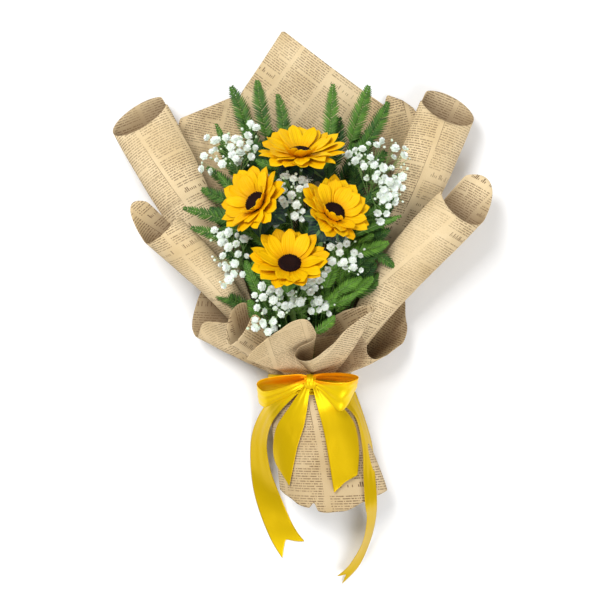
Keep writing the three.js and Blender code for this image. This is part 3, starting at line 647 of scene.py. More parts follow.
def stem_route(target, end=None, steps=16):
    """From the cut end in the skirt, through the waist, to the target and on to its end."""
    target = Vector(target)
    t = (WAIST.y - STEM_FOCUS.y) / (target.y - STEM_FOCUS.y)
    slot = STEM_FOCUS.lerp(target, t)
    cut_end = (slot.x + STEM_LEAN, STEM_END_Y, slot.z)
    in_band = (slot.x, WAIST.y - BAND_HALF_LENGTH, slot.z)
    places = [cut_end, in_band, tuple(slot), tuple(target)]
    if end is not None:
        places.append(tuple(end))
    return through(places, steps)


# ------------------------------------------------------------------ sunflowers

# Painted shadow: the leaves under the first three blooms are painted blue-black.
SUNFLOWERS = [
    {"centre": (0, 172, 118), "lean": (0, 1), "tilt": 60, "cup": 12, "reach": 54, "small": (5, 120),
     "leaf_green_and_shade": -1.0, "leaf_size": 1.0},
    {"centre": (-51, 113, 132), "lean": (-0.8, 0.6), "tilt": 44, "cup": 22, "reach": 48, "small": (5, 140),
     "leaf_green_and_shade": -1.0, "leaf_size": 1.0},
    {"centre": (39, 101, 136), "lean": (0.6, 0.8), "tilt": 39, "cup": 26, "reach": 47, "small": (4, 90),
     "leaf_green_and_shade": -1.0, "leaf_size": 1.0},
    {"centre": (-12, 41, 150), "lean": (0.05, 1), "tilt": 41, "cup": 21, "reach": 49, "small": (0, 0),
     "leaf_green_and_shade": 0.05, "leaf_size": 0.7},
]
# Each whorl of petals: how many, share of the reach, cup added, width, height of the root.
WHORLS = [
    {"count": 16, "share": 1.0, "cup": 2, "width": 19.5, "root": -1.8, "root_radius": 9.0},
    {"count": 12, "share": 0.88, "cup": 10, "width": 18.0, "root": -0.4, "root_radius": 9.5},
]
# The small petals on the near side bend over the disc: the sum of their cup and the tilt.
SMALL_PETAL = {"share": 0.7, "width": 14.0, "root": 0.4, "root_radius": 12.2}
SMALL_PETAL_REACH = 112
CUP_CHANGE = 5  # more at the far side, less at the near side
PETAL_ROWS = 14
PETAL_COLUMNS = 9
PETAL_VISIBLE = 0.3 * MM
DISC_RADIUS = 13.0


def petal_rows(rng, reach, cup, whorl, lift):
    """One petal along +X: a ruffled trough with two grooves and a blunt point."""
    rows = []
    length = reach - whorl["root_radius"]
    curl = rng.uniform(-1.0, 3.5)
    sway = rng.uniform(-3.0, 3.0)
    twist = rng.uniform(-0.3, 0.3)
    ruffle = rng.uniform(0, 6.28)
    trough = rng.uniform(0.8, 2.4)
    width = whorl["width"] * rng.uniform(0.88, 1.1)
    blunt = rng.uniform(2.4, 3.4)
    c, s = unit(cup)
    for step in range(PETAL_ROWS):
        t = 1 - (1 - step / (PETAL_ROWS - 1)) ** 1.5
        end = max(0.0, (t - 0.5) / 0.5)
        half = width / 2 * (0.42 + 0.58 * smooth(t / 0.5)) * max(0.0, 1 - end ** blunt) ** 0.56
        half = max(half, 1.1)
        row = []
        for k in range(PETAL_COLUMNS):
            w = 2 * k / (PETAL_COLUMNS - 1) - 1
            height = whorl["root"] + lift - curl * max(0.0, t - 0.55) ** 2 * 5
            height += trough * bell(min(1.0, t * 0.9)) * (w * w - 0.45)
            height += 0.6 * math.cos(w * 3 * math.pi) * bell(t)
            height += 1.2 * t * w * math.sin(t * 7 + ruffle)
            height += twist * w * half * t
            out = length * t - abs(w) ** 2 * 1.5 * t
            row.append((whorl["root_radius"] + out * c - height * s, w * half + sway * t * t,
                        out * s + height * c))
        rows.append(row)
    return rows


def flower_turn(bloom):
    """The way a bloom faces, and the turn that takes +Z there."""
    lean = Vector((*bloom["lean"], 0)).normalized()
    tilt = math.radians(bloom["tilt"])
    facing = lean * math.sin(tilt) + Vector((0, 0, math.cos(tilt)))
    return facing, turned_to(facing)


def add_petals(number, bloom):
    rng = random.Random(40 + number)
    turn = flower_turn(bloom)[1]
    growth = Growth(f"sunflower_{number}_rays", PETAL)
    petals = []
    for whorl in WHORLS:
        for k in range(whorl["count"]):
            angle = (k + rng.uniform(-0.26, 0.26)) / whorl["count"] * 2 * math.pi + whorl["cup"]
            petals.append((whorl, angle, (k % 2) * 0.5))
    near = turn.inverted() @ Vector((-bloom["lean"][0], -bloom["lean"][1], 0))
    near_angle = math.atan2(near.y, near.x)
    count, spread = bloom["small"]
    for k in range(count):
        share = (k + 0.5) / count - 0.5
        petals.append((SMALL_PETAL, near_angle + math.radians(spread * share), (k % 2) * 0.6))
    for whorl, angle, lift in petals:
        reach = bloom["reach"] * whorl["share"] * rng.uniform(0.9, 1.03)
        cup = SMALL_PETAL_REACH - bloom["tilt"]
        if "cup" in whorl:
            cup = bloom["cup"] + whorl["cup"] - CUP_CHANGE * math.cos(angle - near_angle)
        piece = grid_piece("petal_form", petal_rows(rng, reach, cup + rng.uniform(-4, 4), whorl, lift))
        apply_modifier(piece, "SUBSURF", levels=1, render_levels=1)
        apply_modifier(piece, "SOLIDIFY", thickness=PETAL_VISIBLE, offset=0)
        spin = Matrix.Rotation(angle, 4, "Z")
        growth.add(Shape(piece, MM), placed(bloom["centre"], turn @ spin), rng.uniform(0.3, 1.0))
    growth.grown("petal", f"sunflower_{number}_petals")


def floret_bud():
    """One disc floret: a five-sided bud with a flared mouth."""
    bpy.ops.object.select_all(action="DESELECT")
    bpy.ops.mesh.primitive_cone_add(vertices=5, radius1=0.62, radius2=0.8, depth=2.0, end_fill_type="NGON")
    piece = bpy.context.object
    only(piece)
    bpy.ops.object.mode_set(mode="EDIT")
    bpy.ops.mesh.select_all(action="DESELECT")
    bpy.ops.object.mode_set(mode="OBJECT")
    for face in piece.data.polygons:
        face.select = face.normal.z > 0.9
    bpy.ops.object.mode_set(mode="EDIT")
    bpy.ops.mesh.inset(thickness=0.3, depth=-0.5)
    bpy.ops.object.mode_set(mode="OBJECT")
    return Shape(piece)


def dome_height(radius):
    """The disc's cushion: low in the middle, highest in a ring, and down to the petals."""
    t = radius / DISC_RADIUS
    return 2.6 + 1.6 * math.sin(math.pi * min(1.0, t * 0.95) ** 1.4) - 1.6 * max(0.0, t - 0.86) * 5


DISC_FLORETS = 210
CUSHION_RADII = (0.05, 2.5, 5, 7.5, 9.5, 11.2, 12.6)
GOLDEN_TURN = math.pi * (3 - math.sqrt(5))


def add_disc(number, bloom, bud):
    rng = random.Random(80 + number)
    turn = flower_turn(bloom)[1]
    growth = Growth(f"sunflower_{number}_heart", DISC)
    cushion = [[(radius * c, radius * s, dome_height(radius) - 0.9) for c, s in CIRCLE]
               for radius in CUSHION_RADII]
    piece = grid_piece("cushion_form", cushion)
    apply_modifier(piece, "SOLIDIFY", thickness=1.2 * MM, offset=-1)
    growth.add(Shape(piece, MM), placed(bloom["centre"], turn), 0.2)
    for k in range(DISC_FLORETS):
        share = (k + 0.5) / DISC_FLORETS
        radius = DISC_RADIUS * math.sqrt(share)
        angle = k * GOLDEN_TURN
        place = Vector((radius * math.cos(angle), radius * math.sin(angle), dome_height(radius)))
        lean = Vector((math.cos(angle), math.sin(angle), 0)) * (share * 0.75 - 0.35)
        size = rng.uniform(0.75, 1.0) * lerp(0.62, 1.0, share)
        tall = size * lerp(0.8, 1.7, max(0.0, share - 0.4) / 0.6)
        matrix = placed(bloom["centre"], turn) @ placed(
            place, turned_to(lean + Vector((0, 0, 1)), rng.uniform(0, 6)), (size, size, tall))
        tint = max(0.0, share - 0.6) * 2.0 * rng.uniform(0.5, 1.1) + rng.uniform(0, 0.08)
        growth.add(bud, matrix, min(1.0, tint))
    growth.grown("disc", f"sunflower_{number}_disc")


def blade_shape(columns, rows, outline, fold=0.0, arch=0.0, lobes=None, thickness=0.012):
    """A blade one unit long along +Y: `outline` gives its half width, folded along its rib."""
    grid = []
    for step in range(rows + 1):
        t = step / rows
        half = max(outline(t), 0.004)
        row = []
        for k in range(columns + 1):
            s = 2 * k / columns - 1
            edge = 1 + (lobes(t, s) if lobes else 0.0)
            crest = min(half, 0.3) * fold * abs(s)
            row.append((s * half * edge, t, crest + arch * bell(t) - 0.5 * arch * t))
        grid.append(row)
    piece = grid_piece("blade_form", grid)
    apply_modifier(piece, "SOLIDIFY", thickness=thickness * MM, offset=0)
    return Shape(piece, MM)


def leaf_outline(t):
    return 0.3 * bell(t ** 0.75) ** 0.8


def bract_outline(t):
    return 0.24 * (1 - t ** 2.2) * (0.65 + 0.5 * bell(t))


# The green cup under a bloom: how far behind the bloom's centre each ring is, and its radius.
CUP_RINGS = [(13.5, 3.0), (11, 5.2), (8, 8.2), (5.5, 10.6), (3.6, 11.6), (2.8, 11.4)]
# Each whorl of bracts: how many, their length, their height and how far out they start.
BRACT_WHORLS = [(13, 20, -3.4, 8.5), (10, 17, -6.0, 7.0)]
LEAF_ANGLES = (-52, -26, 0, 26, 52)
NECK_DEPTH = 35  # behind the bloom, where its stem bends up to it
STEM_TOP_DEPTH = 9


def add_flower_stem(number, bloom, bract, leaf):
    rng = random.Random(120 + number)
    facing, turn = flower_turn(bloom)
    centre = Vector(bloom["centre"])
    growth = Growth(f"sunflower_{number}_stalk", STEM, LEAF)
    neck = centre - facing * NECK_DEPTH
    top = centre - facing * STEM_TOP_DEPTH
    growth.tube(stem_route(neck, top, 26), (2.7, 2.9), 10, 0.8)
    rows = [[centre - facing * depth + (turn @ Vector((radius * c, radius * s, 0))) for c, s in CIRCLE]
            for depth, radius in CUP_RINGS]
    growth.add(Shape(grid_piece("cup_form", rows), MM), Matrix.Identity(4), 0.25)
    for ring, (count, length, rise, out) in enumerate(BRACT_WHORLS):
        for k in range(count):
            angle = (k + 0.5 * ring + rng.uniform(-0.15, 0.15)) / count * 2 * math.pi
            c, s = math.cos(angle), math.sin(angle)
            ahead = Vector((c, s, rng.uniform(-0.25, 0.1)))
            local = placed((c * out, s * out, rise), along_and_up(ahead, (0, 0, 1)),
                           (length * 1.3, length * rng.uniform(0.9, 1.1), length))
            growth.add(bract, placed(centre, turn) @ local, rng.uniform(0.0, 0.3), 1)
    near = Vector((-bloom["lean"][0], -bloom["lean"][1], 0)).normalized()
    for k, degrees in enumerate(LEAF_ANGLES):
        ahead = Matrix.Rotation(math.radians(degrees + rng.uniform(-6, 6)), 3, "Z") @ near
        ahead.z = rng.uniform(0.0, 0.25)
        length = rng.uniform(32, 38) if k % 2 == 0 else rng.uniform(26, 31)
        length *= bloom["leaf_size"]
        matrix = placed(centre - facing * rng.uniform(9, 12), along_and_up(ahead, (0, 0, 1)),
                        (length * 1.35, length, length * 0.8))
        growth.add(leaf, matrix, bloom["leaf_green_and_shade"] + rng.uniform(0.0, 0.3), 1)
    growth.grown("stem", f"sunflower_{number}_stem")


# ------------------------------------------------------------------ fern

# The fronds of the part: base, tip, half width and how light the green is, partly its own tone and partly
# painted shade.
FRONDS = [
    ((-62, 196, 44), (-84, 261, 38), 16, 0.3),
    ((-40, 198, 56), (-52, 267, 50), 15, 0.3),
    ((-18, 186, 66), (-27, 249, 58), 13, 0.3),
    ((35, 192, 54), (40, 262, 50), 14, 0.42),
    ((62, 194, 44), (84, 262, 38), 16, 0.5),
    ((72, 180, 60), (107, 240, 52), 15, 0.3),
    ((-74, 92, 84), (-139, 110, 80), 12, 0.3),
    ((-70, 66, 92), (-129, 86, 88), 12, 0.3),
    ((-70, 112, 62), (-118, 134, 64), 14, 0.3),
    ((30, 126, 76), (32, 184, 80), 12, 0.3),
    ((-26, 120, 86), (-36, 160, 90), 10, 0.3),
    ((60, 78, 86), (97, 108, 84), 14, 0.7),
    ((56, 54, 98), (86, 78, 98), 11, 0.7),
    ((54, 2, 101), (86, 26, 96), 12, 0.8),
    ((30, -6, 107), (68, 8, 106), 9, 0.7),
    ((-47, 6, 102), (-64, 46, 102), 11, 0.45),
]
FROND_REACH = 0.95  # share of a frond's half width, because its longest leaflets reach past it
LEAFLET_PITCH = 3.3
LEAFLET_HALF_WIDTH = 1.3
LEAFLET_DROOP = 3.0
FERN_RIB_RADIUS = 0.5
RIB_STEPS = 10


def leaflet_outline(t):
    return (1 - t ** 2.4) * (0.8 + 0.25 * bell(t))


def add_frond(growth, rng, leaflet, base, tip, half, tint):
    """A frond from its base to its tip: a fine pale rib with narrow leaflets swept forward."""
    base, tip = Vector(base), Vector(tip)
    ahead = tip - base
    length = ahead.length
    side = Vector((-ahead.y, ahead.x, 0)).normalized()
    sway = rng.uniform(-4, 4)

    def on_rib(t):
        lift = 4 * t * (1 - t) * length * 0.07
        return base + ahead * t + side * sway * bell(t) * 0.6 + Vector((0, 0, lift))

    growth.tube([on_rib(k / RIB_STEPS) + Vector((0, 0, 0.5)) for k in range(RIB_STEPS + 1)],
                (FERN_RIB_RADIUS * 1.5, 0.3), 5, min(1.0, 0.5 + tint), 1)
    count = round(length / LEAFLET_PITCH)
    for k in range(count + 1):
        t = (k + 0.3) / (count + 0.6)
        place = on_rib(t)
        forward = (on_rib(min(1.0, t + 0.03)) - on_rib(max(0.0, t - 0.03))).normalized()
        swell = math.sin(math.pi * (0.24 + 0.7 * t)) ** 0.8
        for sign in (-1, 1):
            reach = half * swell * rng.uniform(1.0, 1.16)
            out = side * sign * 0.82 + forward * lerp(0.62, 1.0, t)
            out.z -= LEAFLET_DROOP / half * 0.8 * rng.uniform(0.2, 1.3)
            wide = LEAFLET_HALF_WIDTH * rng.uniform(0.9, 1.1)
            matrix = placed(place + forward * rng.uniform(-0.4, 0.4), along_and_up(out, (0, 0, 1)),
                            (wide, reach, reach))
            growth.add(leaflet, matrix, min(1.0, max(0.0, tint + rng.uniform(-0.2, 0.2))))


def add_ferns(leaflet):
    for k, (base, tip, half, green_and_shade) in enumerate(FRONDS, 1):
        rng = random.Random(200 + k)
        growth = Growth(f"fern_frond_{k}", LEAF, STEM)
        growth.tube(stem_route(base), (1.2, 0.8), 6, 0.35)
        add_frond(growth, rng, leaflet, base, tip, half * FROND_REACH, green_and_shade)
        growth.grown("leaf", f"fern_{k}")


# The greenery low in the bunch, in layers: height, how light its green is (painted shade, darker the lower
# the layer), how many fronds, their length and half width, and the field that their bases lie in (x and y
# from, to).
UNDERGROWTH = [
    {"height": 50, "green_and_shade": 0.16, "count": 15, "length": 58, "half": 15, "x": (-58, 80), "y": (132, 168)},
    {"height": 66, "green_and_shade": 0.12, "count": 26, "length": 62, "half": 15, "x": (-64, 76), "y": (-30, 146)},
    {"height": 82, "green_and_shade": 0.3, "count": 26, "length": 52, "half": 13, "x": (-62, 74), "y": (-38, 136)},
    {"height": 98, "green_and_shade": 0.56, "count": 24, "length": 42, "half": 11, "x": (-52, 70), "y": (-44, 118)},
    {"height": 107, "green_and_shade": 0.72, "count": 14, "length": 32, "half": 9, "x": (-30, 56), "y": (-26, 34)},
]
# Short fronds that show in the photograph: base, tip, half width and how light the green is, partly its own
# tone and partly painted shade.
SHORT_FRONDS = [
    ((-24, 158, 100), (-52, 166, 96), 8, 0.45),
    ((14, 140, 104), (36, 170, 98), 9, 0.4),
    ((-30, 92, 106), (-34, 124, 104), 10, 0.5),
    ((-44, 74, 108), (-78, 92, 104), 10, 0.4),
    ((-36, 62, 112), (-58, 80, 110), 9, 0.6),
    ((12, 68, 106), (18, 102, 108), 11, 0.45),
    ((60, 56, 104), (104, 68, 98), 12, 0.75),
    ((66, 78, 98), (120, 100, 92), 7, 0.5),
    ((30, 14, 112), (42, 44, 114), 11, 0.85),
    ((40, 6, 108), (72, 26, 106), 10, 0.8),
    ((26, -14, 116), (42, 8, 120), 10, 0.75),
    ((-32, 20, 108), (-56, 44, 106), 9, 0.5),
    ((-26, 8, 112), (-40, 36, 112), 8, 0.55),
    ((18, -38, 112), (40, -20, 118), 9, 0.7),
    ((-66, 118, 92), (-98, 152, 86), 8, 0.4),
    ((-72, 84, 90), (-104, 78, 86), 8, 0.35),
    ((84, 60, 88), (112, 40, 84), 10, 0.3),
    ((70, 96, 90), (118, 122, 84), 11, 0.3),
    ((66, 84, 94), (112, 96, 90), 12, 0.35),
    ((64, 50, 92), (106, 84, 86), 13, 0.15),
    ((60, 30, 92), (98, 62, 88), 13, 0.1),
    ((56, 14, 90), (90, 44, 86), 13, 0.08),
    ((70, 110, 84), (118, 150, 76), 12, 0.2),
    ((74, 74, 86), (110, 112, 80), 13, 0.08),
    ((-66, 96, 80), (-108, 110, 74), 12, 0.12),
    ((-62, 70, 82), (-100, 96, 76), 12, 0.1),
    ((-56, 44, 84), (-92, 56, 78), 12, 0.12),
    ((-60, 140, 72), (-98, 186, 60), 12, 0.25),
    ((-70, 128, 74), (-112, 160, 66), 11, 0.2),
    ((-80, 150, 66), (-102, 214, 54), 9, 0.3),
]


# Nothing grows low in the bunch below this line, where the paper begins: how high it runs on the
# left, where its climb to the right begins, and how steep that is.
PAPER_LINE_Y = -38
PAPER_LINE_X = 21
PAPER_LINE_CLIMB = 0.714
UNDERGROWTH_COLUMNS = 5


def clear_of_paper(spot):
    return spot.y - PAPER_LINE_Y - PAPER_LINE_CLIMB * max(0.0, spot.x - PAPER_LINE_X) >= 0


def add_undergrowth(leaflet):
    """The fronds low in the bunch, which fill it between the flowers' stems."""
    for number, layer in enumerate(UNDERGROWTH, 1):
        rng = random.Random(300 + number)
        growth = Growth(f"fern_undergrowth_{number}", LEAF, STEM)
        columns = UNDERGROWTH_COLUMNS
        rows = math.ceil(layer["count"] / columns)
        for k in range(layer["count"]):
            x = lerp(*layer["x"], (k % columns + rng.uniform(0.1, 0.9)) / columns)
            y = lerp(*layer["y"], (k // columns + rng.uniform(0.1, 0.9)) / rows)
            base = Vector((x, y, layer["height"] - 0.16 * abs(x) + rng.uniform(-4, 4)))
            outward = (base - STEM_FOCUS).normalized()
            outward.z *= 0.15
            outward = Matrix.Rotation(math.radians(rng.uniform(-34, 34)), 3, "Z") @ outward
            tip = base + outward * layer["length"] * rng.uniform(0.8, 1.15)
            tip.z -= rng.uniform(0, 6)
            green_and_shade = layer["green_and_shade"] + rng.uniform(-0.1, 0.16)
            if clear_of_paper(base) and clear_of_paper(tip):
                growth.tube(stem_route(base, None, 8), (1.0, 0.6), 4, 0.2)
                add_frond(growth, rng, leaflet, base, tip, layer["half"], green_and_shade)
        growth.grown("leaf")


def add_short_fronds(leaflet):
    rng = random.Random(350)
    growth = Growth("fern_short_fronds", LEAF, STEM)
    for base, tip, half, green_and_shade in SHORT_FRONDS:
        growth.tube(stem_route(base, None, 10), (0.9, 0.6), 4, 0.25)
        add_frond(growth, rng, leaflet, base, tip, half, green_and_shade)
    growth.grown("leaf")


# ------------------------------------------------------------------ baby's breath

SPRAYS = [
    {"fork": (-76, 158, 86),
     "florets": [(-114, 171, 96), (-117, 156, 94), (-101, 189, 98), (-88, 193, 92), (-82, 181, 100),
                 (-71, 185, 104), (-62, 195, 96), (-76, 167, 106), (-58, 170, 98), (-92, 161, 104),
                 (-52, 205, 92), (-80, 172, 100), (-70, 174, 98), (-63, 180, 100)]},
    {"fork": (86, 136, 84),
     "florets": [(58, 173, 96), (74, 179, 100), (83, 168, 108), (91, 184, 96), (98, 156, 108),
                 (113, 180, 98), (123, 171, 102), (121, 146, 104), (105, 139, 110), (112, 125, 104),
                 (98, 118, 108), (92, 103, 106), (89, 145, 104), (100, 144, 106), (107, 136, 107),
                 (99, 130, 108), (112, 132, 106), (104, 122, 108), (95, 124, 106), (115, 138, 102),
                 (66, 165, 100), (76, 158, 102), (88, 160, 104)]},
    {"fork": (-11, 104, 108),
     "florets": [(-19, 144, 126), (-8, 141, 132), (2, 140, 126), (0, 129, 134), (-10, 122, 130),
                 (-18, 112, 128), (-4, 110, 136), (-6, 98, 130), (10, 142, 120), (-37, 134, 124),
                 (-24, 134, 126), (-21, 117, 130), (-28, 90, 122)]},
    {"fork": (-70, 44, 92),
     "florets": [(-84, 80, 106), (-66, 72, 108), (-84, 62, 110), (-73, 54, 106), (-93, 68, 104),
                 (-77, 43, 110), (-87, 38, 104), (-84, 24, 106), (-91, 52, 106), (-75, 66, 110),
                 (-78, 31, 106), (-94, 76, 102)]},
    {"fork": (44, 42, 112),
     "florets": [(36, 62, 128), (44, 70, 126), (54, 66, 128), (46, 55, 136), (63, 55, 130),
                 (37, 45, 134), (51, 44, 136), (62, 38, 130)]},
    {"fork": (-20, -10, 113),
     "florets": [(-44, 16, 124), (-24, 10, 134), (-43, 3, 126), (-50, -9, 122), (-31, 0, 132),
                 (-11, 8, 138), (0, -2, 136), (-17, -7, 130), (12, 9, 136), (21, -1, 128),
                 (29, -8, 124), (13, -13, 124), (8, 33, 132), (17, 30, 134), (13, 22, 136), (22, 23, 132),
                 (5, 16, 134), (17, 56, 128)]},
    {"bend": (-22, -36, 86), "fork": (-34, -22, 118),
     "florets": [(-43, -26, 132), (-31, -25, 136), (-22, -17, 132), (-52, -32, 134),
                 (-37, -37, 140)]},
]
FLORET_RADIUS = 5.4
BRANCHING_LENGTH = 16
STALK_SIDES = 4
STALK_TINT = 0.85


# A floret's whorls: how many petals, their radius, how steep they stand, their height and turn.
FLORET_WHORLS = [(6, 1.0, 12, 0.0, 0.0), (6, 0.82, 38, 0.12, 0.5), (4, 0.55, 62, 0.2, 0.2)]


def floret_shape():
    """A double floret of unit radius: three whorls of small notched petals."""
    petals = []
    for count, radius, lift, height, turn in FLORET_WHORLS:
        for k in range(count):
            rows = []
            for step in range(4):
                t = step / 3
                half = 0.48 * radius * smooth(t * 1.6 + 0.12)
                row = []
                for s in (-1, 0, 1):
                    out = radius * (0.08 + 0.92 * t) - (0.13 * radius if s == 0 and t == 1 else 0)
                    rise = height + math.tan(math.radians(lift)) * radius * 0.55 * t ** 1.3
                    row.append((out, s * half, rise + 0.12 * abs(s) - 0.1 * t ** 3))
                rows.append(row)
            piece = grid_piece("floret_form", rows)
            piece.data.transform(Matrix.Rotation((k + turn) / count * 2 * math.pi, 4, "Z"))
            petals.append(piece)
    bpy.ops.object.select_all(action="DESELECT")
    for piece in petals:
        piece.select_set(True)
    bpy.context.view_layer.objects.active = petals[0]
    bpy.ops.object.join()
    return Shape(bpy.context.object, MM)


def bud_shape():
    """A closed bud of unit radius: a pointed oval."""
    bpy.ops.object.select_all(action="DESELECT")
    bpy.ops.mesh.primitive_uv_sphere_add(segments=7, ring_count=5, radius=1)
    piece = bpy.context.object
    for corner in piece.data.vertices:
        corner.co.z *= 1.25 if corner.co.z < 0 else 1.05
    return Shape(piece)


def sagging(start, end, steps=6):
    """A fine stalk that leaves its stem upwards and bends to its flower."""
    start, end = Vector(start), Vector(end)
    knee = start.lerp(end, 0.5) + Vector((0, 0, (end - start).length * 0.1))
    return [start.lerp(knee, t).lerp(knee.lerp(end, t), t) for t in (k / steps for k in range(steps + 1))]


def beside(rng, distances, heights):
    """A step from a flower to one beside it: any way round, within the distances and heights."""
    angle = rng.uniform(0, 6.28)
    step = Vector((math.cos(angle), math.sin(angle), 0)) * rng.uniform(*distances)
    step.z = rng.uniform(*heights)
    return step


def add_flowerlets(growth, rng, floret, bud, root, centre):
    """A floret on its stalk, with one or two smaller ones beside it and a few buds."""
    growth.tube(sagging(root, centre - Vector((0, 0, 2))), (0.45, 0.3), STALK_SIDES, STALK_TINT, 1)
    florets = [(centre, 1.0)]
    for _ in range(rng.choice((1, 1, 2))):
        place = centre + beside(rng, (7.5, 11), (-8, -2))
        florets.append((place, rng.uniform(0.6, 0.9)))
        growth.tube(sagging(root.lerp(centre, 0.55), place), (0.35, 0.25), STALK_SIDES, STALK_TINT, 1)
    for place, size in florets:
        facing = (place - root).normalized()
        facing += Vector((rng.uniform(-0.8, 0.8), rng.uniform(-0.8, 0.8), 1.3))
        radius = FLORET_RADIUS * size * rng.uniform(0.84, 1.1)
        matrix = placed(place, turned_to(facing, rng.uniform(0, 6)), (radius, radius, radius))
        growth.add(floret, matrix, 0.45, 0, 1.0)
    for _ in range(rng.choice((1, 2, 2, 3))):
        offset = beside(rng, (6, 13), (-9, 3))
        place = centre + offset
        growth.tube(sagging(root.lerp(centre, 0.6), place), (0.3, 0.22), STALK_SIDES, STALK_TINT, 1)
        size = rng.uniform(1.1, 1.9)
        matrix = placed(place, turned_to(offset + Vector((0, 0, 9))), (size, size, size))
        growth.add(bud, matrix, rng.uniform(0.1, 0.6))


def add_sprays(floret, bud):
    for number, spray in enumerate(SPRAYS, 1):
        rng = random.Random(400 + number)
        growth = Growth(f"babys_breath_spray_{number}", FLORET, STEM)
        fork = Vector(spray["fork"])
        if "bend" in spray:
            route = stem_route(spray["bend"], fork, 18)
        else:
            route = stem_route(fork)
        growth.tube(route, (1.0, 0.6), 6, 0.7, 1)
        downward = (Vector(route[-3]) - fork).normalized() * BRANCHING_LENGTH
        count = len(spray["florets"])
        for k, centre in enumerate(spray["florets"]):
            centre = Vector(centre)
            root = fork + downward * (k + 0.3) / count
            add_flowerlets(growth, rng, floret, bud, root, centre)
        growth.grown("floret", f"babys_breath_{number}")


# ------------------------------------------------------------------ paper

PAPER_VISIBLE = 0.45 * MM


def waist_point(degrees, layer, y):
    """A place round the waist, some layers of paper in from its outside."""
    inset = layer * LAYER_STEP + 0.4
    c, s = unit(degrees)
    return Vector((WAIST.x + (WAIST_HALF_WIDTH - inset) * c, y,
                   WAIST.z + (WAIST_HALF_HEIGHT - inset) * s))


def fan_rows(rim, angles, layer, steps, belly=0.0):
    """Rows of a sheet gathered at the waist that fans out to its rim, fuller half way."""
    starts = [waist_point(degrees, layer, GATHER_TOP) for degrees in angles]
    rows = [[waist_point(degrees, layer, GATHER_BOTTOM) for degrees in angles], starts]
    for step in range(1, steps + 1):
        t = step / steps
        row = [start.lerp(Vector(end), t) for start, end in zip(starts, rim)]
        middle = sum(row, Vector()) / len(row)
        fullness = 1 + belly * bell(t)
        rows.append([middle + (corner - middle) * fullness for corner in row])
    return rows


def print_map(rows, turn=0.0, shift=(0.0, 0.0)):
    """The place of every corner on the flat printed sheet, in metres, turned by some degrees."""
    c, s = unit(turn)
    columns = len(rows[0])
    middle = columns // 2
    along = [0.0] * columns
    measured = []
    for k, row in enumerate(rows):
        if k:
            steps = [(Vector(a) - Vector(b)).length for a, b in zip(row, rows[k - 1])]
            along = [a + b for a, b in zip(along, steps)]
        across = [0.0]
        for a, b in zip(row, row[1:]):
            across.append(across[-1] + (Vector(b) - Vector(a)).length)
        centre = across[middle]
        line = []
        for column in range(columns):
            u = (across[column] - centre) * MM + shift[0]
            v = along[column] * MM + shift[1]
            line.append((u * c - v * s, u * s + v * c))
        measured.append(line)
    return measured


CRUMPLE_SCALE = 22


def crumpled(piece, depth, seed):
    """Soft dents and a few sharper creases along the sheet's own normals. Depth in mm."""
    mesh = piece.data
    normals = [corner.normal.copy() for corner in mesh.vertices]
    offset = Vector((seed * 3.1, seed * 1.7, seed * 0.9))
    for corner, normal in zip(mesh.vertices, normals):
        place = corner.co * CRUMPLE_SCALE + offset
        dent = noise.noise(place) + 0.5 * noise.noise(place * 2.3)
        crease = 1 - abs(noise.noise(place * 0.8 + Vector((7, 3, 1)))) * 4
        dent += 0.6 * max(0.0, crease)
        corner.co += normal * dent * depth * MM


def paper_piece(name, rows, measured, node, crumple, seed, closed=False, panel_map=None,
                shade=None, shade_rows=None):
    """A sheet of paper. Its painted shade comes from its place and its normal, or from a table."""
    piece = grid_piece(name, rows, measured, panel_map)
    if shade_rows:
        corners = [Vector(corner) for row in rows for corner in row]
        values = [value for shades in shade_rows for value in shades]
        nearest = KDTree(len(corners))
        for k, corner in enumerate(corners):
            nearest.insert(corner, k)
        nearest.balance()
        set_tint(piece, lambda place: values[nearest.find(place)[1]])
    if closed:
        stitch(piece)
    crumpled(piece, crumple, seed)
    apply_modifier(piece, "SUBSURF", levels=1, render_levels=1)
    apply_modifier(piece, "SOLIDIFY", thickness=PAPER_VISIBLE, offset=0)
    if not shade_rows:
        layer = piece.data.attributes.new("tint", "FLOAT", "POINT")
        for corner, value in zip(piece.data.vertices, layer.data):
            value.value = min(1.0, shade(corner.co / MM, corner.normal)) if shade else 0.0
    return handed_over(piece, PAPER, "kraft_newsprint", node)


UPPER_ROLL_LAYER = 4
LOWER_ROLL_LAYER = 3
COLLAR_LAYER = 2
ROLL_BELLY = 0.3

ROLLS = [
    {"node": "paper_left_upper_roll", "layer": UPPER_ROLL_LAYER, "arc": (146, 212),
     "centre": (-197, 226, 38), "axis": (-206, 319), "half_width": 39, "half_height": 22,
     "slant": 17, "turn": (20, 336), "print_turn": 4, "print_shift": (0.02, 0.01)},
    {"node": "paper_left_lower_roll", "layer": LOWER_ROLL_LAYER, "arc": (149, 190),
     "centre": (-167, 87, 74), "axis": (-176, 182), "half_width": 26, "half_height": 24,
     "slant": 9, "turn": (20, 290), "flap": (258, 40), "print_turn": -6, "print_shift": (0.0, 0.02),
     "bend": (8, 7)},
    {"node": "paper_right_upper_roll", "layer": UPPER_ROLL_LAYER, "arc": (34, -32),
     "centre": (181, 236, 38), "axis": (176, 339), "half_width": 36, "half_height": 22,
     "slant": 19, "turn": (160, -156), "print_turn": -3, "print_shift": (0.03, 0.03)},
    {"node": "paper_right_lower_roll", "layer": LOWER_ROLL_LAYER, "arc": (60, -14),
     "centre": (197, 117, 68), "axis": (200, 212), "half_width": 33, "half_height": 27,
     "slant": 20, "turn": (156, -128), "flap": (275, 26), "print_turn": 3, "print_shift": (0.01, 0.0),
     "bend": (-8, 6)},
]
ROLL_COLUMNS = 54
ROLL_STEPS = 30
# How dark the painted shade deep inside a roll gets.
ROLL_SHADE = 0.7


